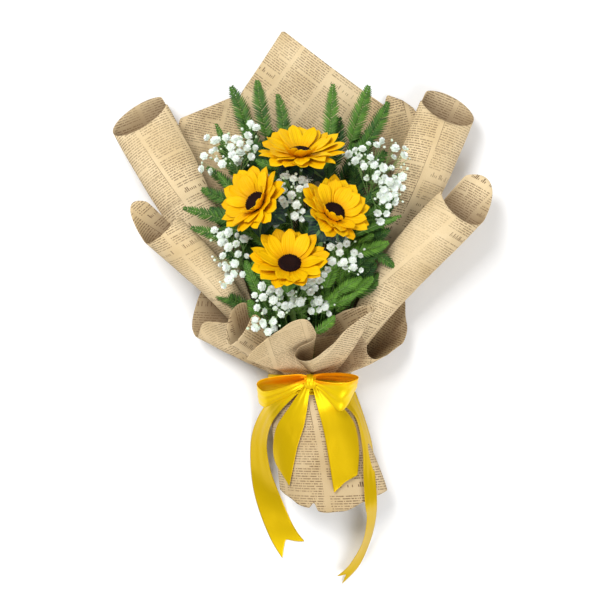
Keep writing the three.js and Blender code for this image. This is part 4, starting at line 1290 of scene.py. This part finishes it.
def mouth(roll):
    """The rim of a rolled sheet: an oval across the roll, cut back towards its front."""
    along = Vector((*roll["axis"], 0)).normalized()
    across = Vector((along.y, -along.x, 0))
    first, last = roll["turn"]
    rim = []
    for k in range(ROLL_COLUMNS):
        degrees = lerp(first, last, k / (ROLL_COLUMNS - 1))
        c, s = unit(degrees)
        extra = 0.0
        if "flap" in roll:
            at, length = roll["flap"]
            extra = length * max(0.0, math.cos(math.radians(degrees - at))) ** 2
        rim.append(Vector(roll["centre"]) + across * roll["half_width"] * c
                   + along * (extra - roll["slant"] * s) + Vector((0, 0, roll["half_height"] * s)))
    return rim


def add_rolls():
    for number, roll in enumerate(ROLLS):
        rim = mouth(roll)
        angles = [lerp(*roll["arc"], k / (ROLL_COLUMNS - 1)) for k in range(ROLL_COLUMNS)]
        rows = fan_rows(rim, angles, roll["layer"], ROLL_STEPS, ROLL_BELLY)
        aside, along_roll = roll.get("bend", (0, 0))
        for k, row in enumerate(rows[1:]):
            shift = Vector((aside, along_roll, 0)) * bell(k / ROLL_STEPS)
            rows[k + 1] = [corner + shift for corner in row]
        measured = print_map(rows, roll["print_turn"], roll["print_shift"])
        mouth_place = Vector(roll["centre"])
        inward = (Vector((WAIST.x, GATHER_TOP, WAIST.z)) - mouth_place).normalized()

        def painted_roll_shade(place, normal, start=mouth_place, inward=inward):
            """Painted shade: dark on the inner side, darker the further it lies below the mouth, and a
            lighter painted shade outside where the sheet faces down.
            """
            depth = (place - start).dot(inward)
            towards = (start + inward * depth - place).normalized()
            within = smooth((normal.dot(towards) - 0.1) / 0.4)
            # Painted shade on the outside where the sheet faces down.
            under = 0.16 * smooth((0.5 - normal.z) / 0.6)
            return max(ROLL_SHADE * within * smooth((depth + 34) / 50), (1 - within) * under)

        paper_piece(f"{roll['node']}_sheet", rows, measured, roll["node"], 0.6, number + 2,
                    shade=painted_roll_shade)


BACK_SIDES = [
    {"node": "paper_back_left", "arc": (207, 252), "print_turn": 12,
     "rim": [(-153, 196, 9), (-153, 214, 9), (-150, 227, 9), (-118, 240, 8), (-88, 253, 6),
             (-74, 256, 5), (-64, 236, 4)]},
    {"node": "paper_back_right", "arc": (288, 333), "print_turn": -14,
     "rim": [(94, 214, 4), (103, 230, 5), (109, 257, 6), (128, 250, 8), (142, 240, 9),
             (152, 222, 9), (154, 196, 9)]},
]

BACK_SIDE_COLUMNS = 40
BACK_SIDE_STEPS = 24

# The square back sheet, row by row: y, then x and height of its left edge and of its right edge.
BACK_SHEET_ROWS = [
    (-40, -58, 20, 80, 20), (20, -92, 15, 112, 15), (90, -128, 8, 140, 8), (160, -140, 3, 150, 3),
    (205, -118, 0, 140, 0), (236, -88, 0, 118, 0), (266, -70, 0, 75, 0), (294, -51, 0, 37, 0),
    (337, -23, 0, -19, 0),
]
BACK_SHEET_COLUMNS = 41
BACK_SHEET_STEPS = 5  # from one of its rows to the next


def straight_through(points, count):
    """Evenly spaced places on the straight lines between points, so that corners stay sharp."""
    points = [Vector(point) for point in points]
    lengths = [(b - a).length for a, b in zip(points, points[1:])]
    found = []
    for step in range(count):
        target = sum(lengths) * step / (count - 1)
        k = 0
        while k < len(lengths) - 1 and target > lengths[k]:
            target -= lengths[k]
            k += 1
        found.append(points[k].lerp(points[k + 1], min(1.0, target / lengths[k])))
    return found


def back_sheet_rows():
    shares = [k / (BACK_SHEET_COLUMNS - 1) for k in range(BACK_SHEET_COLUMNS)]
    rows = [[waist_point(lerp(203, 337, s), COLLAR_LAYER, y) for s in shares]
            for y in (GATHER_BOTTOM, GATHER_TOP)]
    levels = []
    for here, following in zip(BACK_SHEET_ROWS, BACK_SHEET_ROWS[1:]):
        for step in range(BACK_SHEET_STEPS):
            levels.append([lerp(a, b, step / BACK_SHEET_STEPS) for a, b in zip(here, following)])
    levels.append(BACK_SHEET_ROWS[-1])
    for y, left, left_height, right, right_height in levels:
        row = []
        for s in shares:
            side = max(0.0, abs(2 * s - 1) - 0.5) / 0.5
            height = (left_height if s < 0.5 else right_height) * side ** 2
            row.append(Vector((lerp(left, right, s), y, 0.55 + height)))
        rows.append(row)
    return rows


def add_back_sheets():
    rows = back_sheet_rows()
    piece = grid_piece("paper_back_sheet_square", rows, flat_map(rows, 37))
    apply_modifier(piece, "SOLIDIFY", thickness=PAPER_VISIBLE, offset=0)
    set_tint(piece, lambda place: 0.0)
    handed_over(piece, PAPER, "kraft_newsprint", "paper_back_sheet")
    for number, side in enumerate(BACK_SIDES):
        rim = straight_through(side["rim"], BACK_SIDE_COLUMNS)
        angles = [lerp(*side["arc"], k / (BACK_SIDE_COLUMNS - 1)) for k in range(BACK_SIDE_COLUMNS)]
        rows = fan_rows(rim, angles, LOWER_ROLL_LAYER, BACK_SIDE_STEPS)
        # Painted shade: the side sheets darken towards the flowers, where their shadow falls, and along
        # thin painted crease lines.
        paper_piece(f"{side['node']}_sheet", rows, flat_map(rows, side["print_turn"]), side["node"],
                    1.6, number + 8, shade=lambda place, normal: (
                        0.34 * smooth((200 - place.y) / 70)
                        + 0.3 * max(0.0, 1 - 7 * abs(noise.noise(place * 0.021)))))


def flat_map(rows, turn):
    """For a sheet that lies nearly flat: its print follows its own plan, turned by some degrees."""
    c, s = unit(turn)
    return [[((x * c - y * s) * MM, (x * s + y * c) * MM) for x, y, _ in row] for row in rows]


# The rim of the collar with its folds, from its left flank under the left roll, over the front,
# to its right flank under the right roll.
COLLAR_FOLDS = [
    (-84, 22, 12), (-108, 24, 15), (-122, 12, 20), (-132, -14, 14), (-134, -34, 19), (-126, -45, 34),
    (-118.6, -28, 48), (-104, -27, 60), (-88, -27.5, 70),
    (-57, -16, 86), (-58, -9, 90), (-65, -3, 93), (-74, -5, 95), (-82, -14, 97), (-86, -28, 99),
    (-88, -44, 103), (-82, -53, 107), (-70, -43, 110), (-62, -31, 113), (-55, -17, 115),
    (-46, -22, 117), (-38, -38, 118), (-42, -54, 120), (-54, -65, 122),
    (-63, -71, 125), (-55, -60, 130), (-38, -45, 134), (-22, -34, 138), (-8, -25, 140), (6, -22, 139),
    (14, -29, 134), (19, -41, 128), (13, -49, 122), (-2, -56, 117), (-6, -65, 121), (1, -70, 127),
    (11, -70, 131), (20, -65, 133), (28, -58.6, 134), (37, -51.7, 134), (45.5, -43, 132), (54, -35, 130),
    (62.5, -28, 128), (80, -14.4, 122), (88, -12, 117),
    (84, -6, 109), (66, -9, 105), (44, -17, 102), (8, -44, 98),
    (38, -42, 93), (56, -42, 88), (72, -43, 82), (80, -52, 77), (81, -64, 71), (90, -72, 63),
    (105, -67, 53), (118, -56, 43), (127, -52, 33), (133, -36, 24), (131, -20, 22),
    (130, 2, 17), (118, 18, 14), (98, 24, 12), (76, 16, 11),
]
# Where each rim point is gathered: degrees round the waist, and how many layers in.
COLLAR_ANGLES = [(0, 232), (2, 208), (3, 198), (5, 166), (9, 138), (19, 120), (24, 112), (28, 94),
                 (36, 84), (44, 52), (48, 88), (52, 40), (54, 28), (59, -14), (63, -48)]
COLLAR_DEPTHS = [(0, 3.5), (3, 2.6), (6, 2), (44, 2), (48, 3.6), (52, 2.6), (54, 2), (59, 2.2), (63, 3.4)]
# How dark the painted shade in the folds is deep inside.
COLLAR_SHADES = [(0, 0.66), (4, 0.72), (5, 0.2), (6, 0.05), (8, 0.15), (9, 0.7), (13, 0.78), (15, 0.3),
                 (16, 0.1), (19, 0.06), (21, 0.5), (23, 0.55), (24, 0.04), (29, 0.05), (31, 0.45),
                 (33, 0.85), (35, 0.7), (36, 0.04), (43, 0.03), (45, 0.3), (48, 0.7), (50, 0.75),
                 (53, 0.6), (54, 0.08), (57, 0.1), (58, 0.75), (59, 0.75), (60, 0.3), (63, 0.2)]
# The flat stretches between the folds: the last rim point of each, and the turn of its print.
COLLAR_PANELS = [(5, -62), (8, 2), (10, 40), (15, 62), (19, 84), (22, 60), (24, 30), (30, 12),
                 (33, 74), (36, 50), (43, 66), (45, -40), (48, 4), (52, -20), (54, -60), (57, 6),
                 (59, 70), (63, 3)]
COLLAR_COLUMNS = 340
COLLAR_STEPS = 22
COLLAR_BELLY = 5
COLLAR_FLOOR = 1.5
PANEL_SHIFT = 0.083  # from the print of one panel to that of the next


def at_stops(stops, k):
    """The value at rim point k, from a table of some rim points and their values."""
    for (from_k, from_value), (to_k, to_value) in zip(stops, stops[1:]):
        if k <= to_k:
            return lerp(from_value, to_value, (k - from_k) / (to_k - from_k))
    return stops[-1][1]


def collar_rows(spots, rim):
    """Rows from the waist to the rim, a little fuller half way and clear of the floor."""
    starts = [waist_point(*spot, GATHER_TOP) for spot in spots]
    rows = [[waist_point(*spot, GATHER_BOTTOM) for spot in spots], starts]
    for step in range(1, COLLAR_STEPS + 1):
        t = step / COLLAR_STEPS
        row = []
        for start, end in zip(starts, rim):
            corner = start.lerp(end, t)
            outward = Vector((corner.x - WAIST.x, 0, corner.z - WAIST.z)).normalized()
            corner = corner + outward * COLLAR_BELLY * bell(t ** 0.8)
            corner.z = max(corner.z, COLLAR_FLOOR)
            row.append(corner)
        rows.append(row)
    return rows


def collar_planes(rim, starts, panel_of):
    """The plane of each flat stretch: a place in it, its two directions, and its print's shift."""
    planes = []
    for number, (_, turned) in enumerate(COLLAR_PANELS):
        members = [k for k, panel in enumerate(panel_of) if panel == number]
        first, last = rim[members[0]], rim[members[-1]]
        middle = starts[members[len(members) // 2]]
        across = (last - first).normalized()
        up = (first.lerp(last, 0.5) - middle)
        up = (up - across * up.dot(across)).normalized()
        c, s = unit(turned)
        planes.append((first, across * c - up * s, across * s + up * c, number * PANEL_SHIFT))
    return planes


def collar_shades(line):
    """How dark the painted shade is at every corner: the rim point's painted shade, lighter towards the
    rim.
    """
    shades = []
    for level in range(COLLAR_STEPS + 2):
        deep = smooth((1.08 - (level - 1) / COLLAR_STEPS) / 0.34)
        shades.append([at_stops(COLLAR_SHADES, place[3]) * (0.5 + 0.5 * deep) for place in line])
    return shades


def add_collar():
    line = through([(*place, k) for k, place in enumerate(COLLAR_FOLDS)], COLLAR_COLUMNS)
    rim = [Vector(place[:3]) for place in line]
    spots = [(at_stops(COLLAR_ANGLES, place[3]), at_stops(COLLAR_DEPTHS, place[3])) for place in line]
    rows = collar_rows(spots, rim)
    panel_of = [next(k for k, (last, _) in enumerate(COLLAR_PANELS) if place[3] <= last + 1e-6)
                for place in line]
    planes = collar_planes(rim, rows[1], panel_of)

    def panel_map(row, column, first_column):
        """The print of each panel lies flat in that panel's own plane."""
        start, u, v, shift = planes[panel_of[first_column]]
        offset = rows[row][column] - start
        return offset.dot(u) * MM + shift, offset.dot(v) * MM + shift * 0.7

    paper_piece("paper_collar_ruffle", rows, None, "paper_collar", 1.0, 5, panel_map=panel_map,
                shade_rows=collar_shades(line))


SKIRT_END_Y = -233
SKIRT_GROWTH = (11, 4.5)
SKIRT_COLUMNS = 120
SKIRT_FLOOR = 0.4
SKIRT_FOLDS = 7
SKIRT_CORNER = 12  # how far the free edge stands out at the right


def skirt_section(y):
    """The oval of the skirt at a height: its middle and its half width and height."""
    t = max(0.0, (GATHER_BOTTOM - y) / (GATHER_BOTTOM - SKIRT_END_Y))
    half_height = WAIST_HALF_HEIGHT - LAYER_STEP + SKIRT_GROWTH[1] * t
    return {"x": WAIST.x + STEM_LEAN * t, "z": max(WAIST.z, half_height + SKIRT_FLOOR),
            "half_width": WAIST_HALF_WIDTH - LAYER_STEP + SKIRT_GROWTH[0] * t ** 0.7,
            "half_height": half_height}


HEM_DROP = 24  # in front and behind
HEM_TEAR = 3.0
NOTCH_AT = 109  # degrees round the skirt
NOTCH_HALF_ARC = 3.6
NOTCH_DEPTH = 14


def skirt_drop(degrees):
    """How far the ragged hem hangs below the skirt's straight end."""
    c, s = unit(degrees)
    notch = max(0.0, 1 - abs((degrees - NOTCH_AT) / NOTCH_HALF_ARC)) * NOTCH_DEPTH
    tear = HEM_TEAR * noise.noise(Vector((c * 3.0, s * 3.0, 2.0)))
    return HEM_DROP * (1 - c * c) + tear - notch


def add_skirt():
    rows = []
    levels = [lerp(GATHER_TOP - 1, GATHER_BOTTOM + 4, k / 5) for k in range(6)]
    levels += [lerp(GATHER_BOTTOM, SKIRT_END_Y, k / 22) for k in range(1, 23)]
    for y in levels:
        row = []
        t = max(0.0, (GATHER_BOTTOM - y) / (GATHER_BOTTOM - SKIRT_END_Y))
        for k in range(SKIRT_COLUMNS + 1):
            degrees = 270 + 360 * k / SKIRT_COLUMNS
            c, s = unit(degrees)
            here = y - skirt_drop(degrees % 360) * smooth((t - 0.5) * 2)
            section = skirt_section(y)
            fold = 1 - 0.03 * smooth(t * 4) * (1 + math.cos(math.radians(degrees) * SKIRT_FOLDS + 0.8)) / 2
            corner = SKIRT_CORNER * smooth((t - 0.1) / 0.9) * max(0.0, c) ** 6
            row.append((section["x"] + (section["half_width"] - 0.4) * fold * c + corner, here,
                        section["z"] + (section["half_height"] - 0.4) * fold * s))
        rows.append(row)
    rows.reverse()
    around = math.pi * (WAIST_HALF_WIDTH + WAIST_HALF_HEIGHT) * 1.08
    measured = [[(around * k / SKIRT_COLUMNS * MM, (corner.y - SKIRT_END_Y) * MM)
                 for k, corner in enumerate(map(Vector, row))] for row in rows]
    # Painted shade: the whole skirt is painted evenly darker than the other paper.
    paper_piece("paper_skirt_sleeve", rows, measured, "paper_skirt", 0.35, 6, closed=True,
                shade=lambda place, normal: 0.2)


# ------------------------------------------------------------------ ribbon

RIBBON_VISIBLE = 0.3 * MM
RIBBON_COLUMNS = 13
RIBBON_PLEATS = 5  # half waves across its width
SMOOTHING_PASSES = 6


def settle(rows):
    """Fills a ribbon's hollows step by step, so that it lies over the skirt in one sweep."""
    for _ in range(SMOOTHING_PASSES):
        for k in range(1, len(rows) - 1):
            for column in range(1, RIBBON_COLUMNS - 1):
                around = (rows[k - 1][column].z + rows[k + 1][column].z
                          + rows[k][column - 1].z + rows[k][column + 1].z) / 4
                rows[k][column].z = max(rows[k][column].z, around)


def ribbon(name, stations, steps, node, painted_light=None, pleat=0.0, both_ends=False,
           notch=0.0, clearance=None):
    """A strip of satin between the left and right edges of its stations, in mm. It is pleated
    where it is gathered, and lies at least `clearance` above the skirt."""
    table = [(*left, *right) for left, right in stations]
    lines = through([(*[(a + b) / 2 for a, b in zip(row[:3], row[3:])], *row) for row in table], steps)
    middles = [Vector(line[:3]) for line in lines]
    length = sum((a - b).length for a, b in zip(middles, middles[1:]))
    rows = []
    measured = []
    for k in range(steps):
        row = []
        maps = []
        t = k / (steps - 1)
        gathered = max(1 - t, t if both_ends else 0.0) ** 3
        ahead = middles[min(k + 1, steps - 1)] - middles[max(k - 1, 0)]
        for column in range(RIBBON_COLUMNS):
            s = column / (RIBBON_COLUMNS - 1)
            at = k - notch * (1 - abs(2 * s - 1)) * smooth((t - 0.7) / 0.3)
            low = lines[int(at)]
            high = lines[min(int(at) + 1, steps - 1)]
            share = at - int(at)
            left = Vector(low[3:6]).lerp(Vector(high[3:6]), share)
            right = Vector(low[6:9]).lerp(Vector(high[6:9]), share)
            spot = left.lerp(right, s)
            out = (right - left).cross(ahead).normalized()
            spot += out * pleat * gathered * math.sin(s * RIBBON_PLEATS * math.pi)
            if clearance is not None and inside_skirt(spot):
                spot.z = max(spot.z, drape(spot.x, spot.y) + clearance)
            row.append(spot)
            maps.append((s * RIBBON_WIDTH * MM, length * at / (steps - 1) * MM))
        rows.append(row)
        measured.append(maps)
    if clearance is not None:
        settle(rows)
    piece = grid_piece(name, rows, measured)
    apply_modifier(piece, "SUBSURF", levels=1, render_levels=1)
    finish_ribbon(piece, painted_light or (lambda place: 0.0), node)


def finish_ribbon(piece, painted_light, node):
    """Every cut is a plain strip, RIBBON_WIDTH by its length. Five pieces hold less than three quarters
    of theirs, and the area given for them is what the model has, so the area check shows nothing
    there. This is a known fault, and the knot and two tails are too narrow."""
    apply_modifier(piece, "SOLIDIFY", thickness=RIBBON_VISIBLE, offset=0)
    # Painted light: the tint is the satin's painted highlight and glow.
    set_tint(piece, painted_light)
    handed_over(piece, SATIN, "satin_ribbon", node)


def drape(x, y):
    """How high ribbon lies on the skirt, or beside it, at a place."""
    section = skirt_section(max(y, SKIRT_END_Y))
    half_width = section["half_width"] + 3.5
    half_height = section["half_height"] + 1.5
    q = abs(x - section["x"]) / half_width
    top = section["z"] + half_height * math.sqrt(max(0.0, 1 - q * q))
    beyond = max(0.0, abs(x - section["x"]) - half_width) / 22
    return max(0.8, lerp(top, 0.8, min(1.0, beyond)))


def inside_skirt(spot):
    """Whether a place is inside the paper round the stems."""
    section = skirt_section(spot.y)
    across = (spot.x - section["x"]) / (section["half_width"] + 3.5)
    height = (spot.z - section["z"]) / (section["half_height"] + 1.5)
    return spot.y > SKIRT_END_Y - 4 and math.hypot(across, height) < 1


def laid(x, y, lift):
    return (x, y, drape(x, y) + lift)


BAND_LEVELS = 41
BAND_COLUMNS = 96
BAND_FOLD = 0.9
BAND_PLEATS = 10  # half waves from its lower edge to its upper


def add_band():
    rows = []
    for step in range(BAND_LEVELS):
        share = step / (BAND_LEVELS - 1)
        y = lerp(WAIST.y - BAND_HALF_LENGTH, WAIST.y + BAND_HALF_LENGTH, share)
        row = []
        for k in range(BAND_COLUMNS + 1):
            c, s = unit(270 + 360 * k / BAND_COLUMNS)
            wave = math.sin(share * BAND_PLEATS * math.pi + 0.7 * c)
            fold = BAND_FOLD * wave * bell(0.1 + 0.8 * share) - 0.2
            row.append((WAIST.x + (WAIST_HALF_WIDTH + fold) * c, y,
                        WAIST.z + (WAIST_HALF_HEIGHT + min(fold, 0.4) - 0.2) * s))
        rows.append(row)
    around = 2 * math.pi * math.sqrt((WAIST_HALF_WIDTH ** 2 + WAIST_HALF_HEIGHT ** 2) / 2)
    measured = [[(step / (BAND_LEVELS - 1) * RIBBON_WIDTH * MM, k / BAND_COLUMNS * around * MM)
                 for k in range(BAND_COLUMNS + 1)] for step in range(BAND_LEVELS)]
    piece = grid_piece("ribbon_waist_band", rows, measured)
    stitch(piece)
    # Painted highlight: the band is painted a little towards lemon.
    finish_ribbon(piece, lambda place: 0.2, "ribbon_band")


KNOT = Vector((12, -98, 77))
KNOT_LENGTH = 58  # of ribbon in its turn
KNOT_STEPS = 40
KNOT_HALF_WIDTH = 7.0
KNOT_RADIUS_ALONG = 9
KNOT_RADIUS_UP = 9.5


def add_knot():
    """The turn of ribbon over the middle of the bow, pinched into shallow pleats."""
    rows = []
    for step in range(KNOT_STEPS + 1):
        c, s = unit(360 * step / KNOT_STEPS)
        row = []
        for k in range(RIBBON_COLUMNS):
            w = 2 * k / (RIBBON_COLUMNS - 1) - 1
            bulge = 1 - 0.25 * abs(w) ** 2 + 0.08 * math.cos(w * 4 * math.pi)
            row.append((KNOT.x + KNOT_HALF_WIDTH * w, KNOT.y + KNOT_RADIUS_ALONG * c * bulge,
                        KNOT.z + KNOT_RADIUS_UP * s * bulge))
        rows.append(row)
    measured = [[(k / (RIBBON_COLUMNS - 1) * RIBBON_WIDTH * MM, step / KNOT_STEPS * KNOT_LENGTH * MM)
                 for k in range(RIBBON_COLUMNS)] for step in range(KNOT_STEPS + 1)]
    piece = grid_piece("ribbon_knot_turn", rows, measured)
    stitch(piece)
    apply_modifier(piece, "SUBSURF", levels=1, render_levels=1)
    # Painted highlight: the knot is painted most of the way towards lemon.
    finish_ribbon(piece, lambda place: 0.4, "ribbon_knot")


# Each loop from the knot over its front to its end and back behind: how far out from the knot,
# then y and z of its upper edge and of its lower edge.
LEFT_LOOP = [
    (4, -95, 86, -101, 79), (16, -98, 92, -109, 79), (30, -103, 99, -117, 77), (44, -107, 103, -124, 76),
    (55, -108, 104, -129, 75), (62, -103, 103, -125, 71), (63, -98, 101, -119, 68),
    (57, -94, 99, -113, 67), (42, -91, 97, -110, 68), (26, -89, 93, -105, 70), (12, -88.5, 88, -99, 74),
    (4, -90, 85, -96, 78),
]
RIGHT_LOOP = [
    (4, -95, 86, -102, 79), (15, -97, 91, -111, 80), (27, -98.5, 95, -125, 80), (37, -98.5, 98, -134, 79),
    (46, -97.5, 98, -127, 76), (54, -95, 96, -112, 71), (58, -92, 94, -104, 68),
    (53, -89, 92, -100, 67), (39, -87, 91, -99, 67), (25, -87, 89, -97, 69), (12, -88, 86, -96, 73),
    (4, -90, 84, -95, 78),
]


def add_bow():
    def loop_painted_light(place):
        """Painted light: a loop is painted towards the lemon highlight, and its back layer painted orange,
        as if light came through it.
        """
        behind = smooth((place.y + 104) / 6) * smooth((90 - abs(place.x - KNOT.x)) / 60)
        return 0.42 + 0.5 * behind

    def tail_painted_light(place):
        """Painted highlight: a tail is painted brightest where it bends out of the knot."""
        return 0.4 * smooth((place.y + 160) / 50)

    def long_tail_painted_light(place):
        """Painted highlight: a long tail is painted bright at its cut end too."""
        return 0.4 * max(smooth((place.y + 165) / 60), smooth((-285 - place.y) / 40))

    for side, name, loop in ((-1, "left", LEFT_LOOP), (1, "right", RIGHT_LOOP)):
        stations = [((KNOT.x + side * out, y, z), (KNOT.x + side * (out - 1), low_y, low_z))
                    for out, y, z, low_y, low_z in loop]
        ribbon(f"ribbon_loop_{name}_satin", stations, 90, f"ribbon_loop_{name}",
               loop_painted_light, 1.5, both_ends=True)
    ribbon("ribbon_tail_left_long_satin", [
        ((-8, -105, 71), (-2, -112, 70)),
        (laid(-35, -121, 2), laid(-25, -136, 2)),
        (laid(-51, -143, 1), laid(-37, -157, 1)),
        (laid(-61, -172, 1), laid(-41, -183, 1)),
        (laid(-62, -206, 1), laid(-36, -212, 1)),
        ((-58, -240, 1.2), (-23, -249, 9)),
        ((-49, -271, 1), (-12, -276, 1)),
        ((-36, -302, 1), (-3, -292, 1)),
        ((-22, -325, 1), (6, -303, 1)),
    ], 90, "ribbon_tail_left_long", long_tail_painted_light, 1.5, notch=6,
        clearance=0.8)
    ribbon("ribbon_tail_left_short_satin", [
        ((4, -104, 76), (12, -104, 76)),
        (laid(-12, -128, 3.5), laid(9, -129, 3)),
        (laid(-28, -153, 3), laid(5, -151, 2)),
        (laid(-33, -178, 3), laid(-3, -177, 2)),
        (laid(-31, -197, 2), laid(-8, -201, 1)),
        (laid(-22, -212, 1), laid(-13, -226, 1)),
    ], 60, "ribbon_tail_left_short", tail_painted_light, 2.2,
        clearance=1.2)
    ribbon("ribbon_tail_right_short_satin", [
        ((15, -104, 76), (24, -102, 76)),
        (laid(21, -130, 2.5), laid(46, -124, 2.5)),
        (laid(28, -156, 1), laid(66, -149, 1)),
        (laid(34, -188, 1), laid(72, -180, 1)),
        (laid(41, -233, 1), laid(70, -212, 1)),
    ], 60, "ribbon_tail_right_short", tail_painted_light, 2.0, notch=1.5,
        clearance=1.2)
    ribbon("ribbon_tail_right_long_satin", [
        (laid(49, -124, 2), laid(68, -112, 5)),
        (laid(68, -144, 2), laid(78, -140, 2)),
        (laid(76, -180, 2), laid(89, -178, 2)),
        (laid(77, -214, 3), laid(92, -216, 3)),
        ((79, -248, 62), (94, -246, 50)),
        ((82, -270, 40), (94, -273, 20)),
        ((77, -300, 30), (88, -303, 3)),
        ((61, -330, 18), (74, -334, 1.2)),
        ((46, -345, 10), (52, -357, 1.2)),
    ], 90, "ribbon_tail_right_long", None, 0.8, notch=4,
        clearance=0.8)


TIE_TURNS = 4
TIE_STEPS = 40  # a turn
TIE_HALF_WIDTH = 33.0
TIE_HALF_HEIGHT = 22.7
TIE_HALF_LENGTH = 4


def add_tie():
    """The turns of twine round the stems, inside the paper."""
    route = []
    steps = TIE_TURNS * TIE_STEPS
    for k in range(steps + 1):
        c, s = unit(360 * k / TIE_STEPS)
        route.append((WAIST.x + TIE_HALF_WIDTH * c,
                      WAIST.y + lerp(-TIE_HALF_LENGTH, TIE_HALF_LENGTH, k / steps),
                      WAIST.z + TIE_HALF_HEIGHT * s))
    growth = Growth("stem_tie_twine", TWINE)
    growth.tube(route, (0.9, 0.9), 6)
    growth.grown("twine", "stem_tie")


# ------------------------------------------------------------------ the whole bunch


FLOOR_SIZE = 12
FLOOR_GAP = 0.0006
WORLD_STRENGTH = 0.42


def add_stage():
    bpy.ops.object.select_all(action="DESELECT")
    bpy.ops.mesh.primitive_plane_add(size=FLOOR_SIZE, location=(0, 0, -FLOOR_GAP))
    floor = bpy.context.object
    floor.name = "studio_floor"
    floor.data.materials.append(floor_finish())
    add_light("key_light", (-0.7, 0.9, 1.7), size=0.9, power=34)
    add_light("fill_light", (0.9, -1.1, 1.5), size=1.4, power=24)
    world = bpy.data.worlds.new("studio")
    bpy.context.scene.world = world
    world.use_nodes = True
    background = world.node_tree.nodes["Background"]
    background.inputs["Color"].default_value = (1, 1, 1, 1)
    background.inputs["Strength"].default_value = WORLD_STRENGTH
    bpy.context.scene.view_settings.view_transform = "Standard"


add_camera()
add_stage()

bud_on_disc = floret_bud()
bract = blade_shape(4, 7, bract_outline, 0.25, 0.08)
broad_leaf = blade_shape(6, 10, leaf_outline, 0.35, 0.12,
                         lambda t, s: 0.08 * abs(math.sin(t * 9 * math.pi)))
for number, bloom in enumerate(SUNFLOWERS, 1):
    add_petals(number, bloom)
    add_disc(number, bloom, bud_on_disc)
    add_flower_stem(number, bloom, bract, broad_leaf)

leaflet = blade_shape(2, 5, leaflet_outline, 0.35, 0.1, thickness=0.035)
add_ferns(leaflet)
add_undergrowth(leaflet)
add_short_fronds(leaflet)
add_sprays(floret_shape(), bud_shape())

add_rolls()
add_back_sheets()
add_collar()
add_skirt()

add_band()
add_knot()
add_bow()
add_tie()
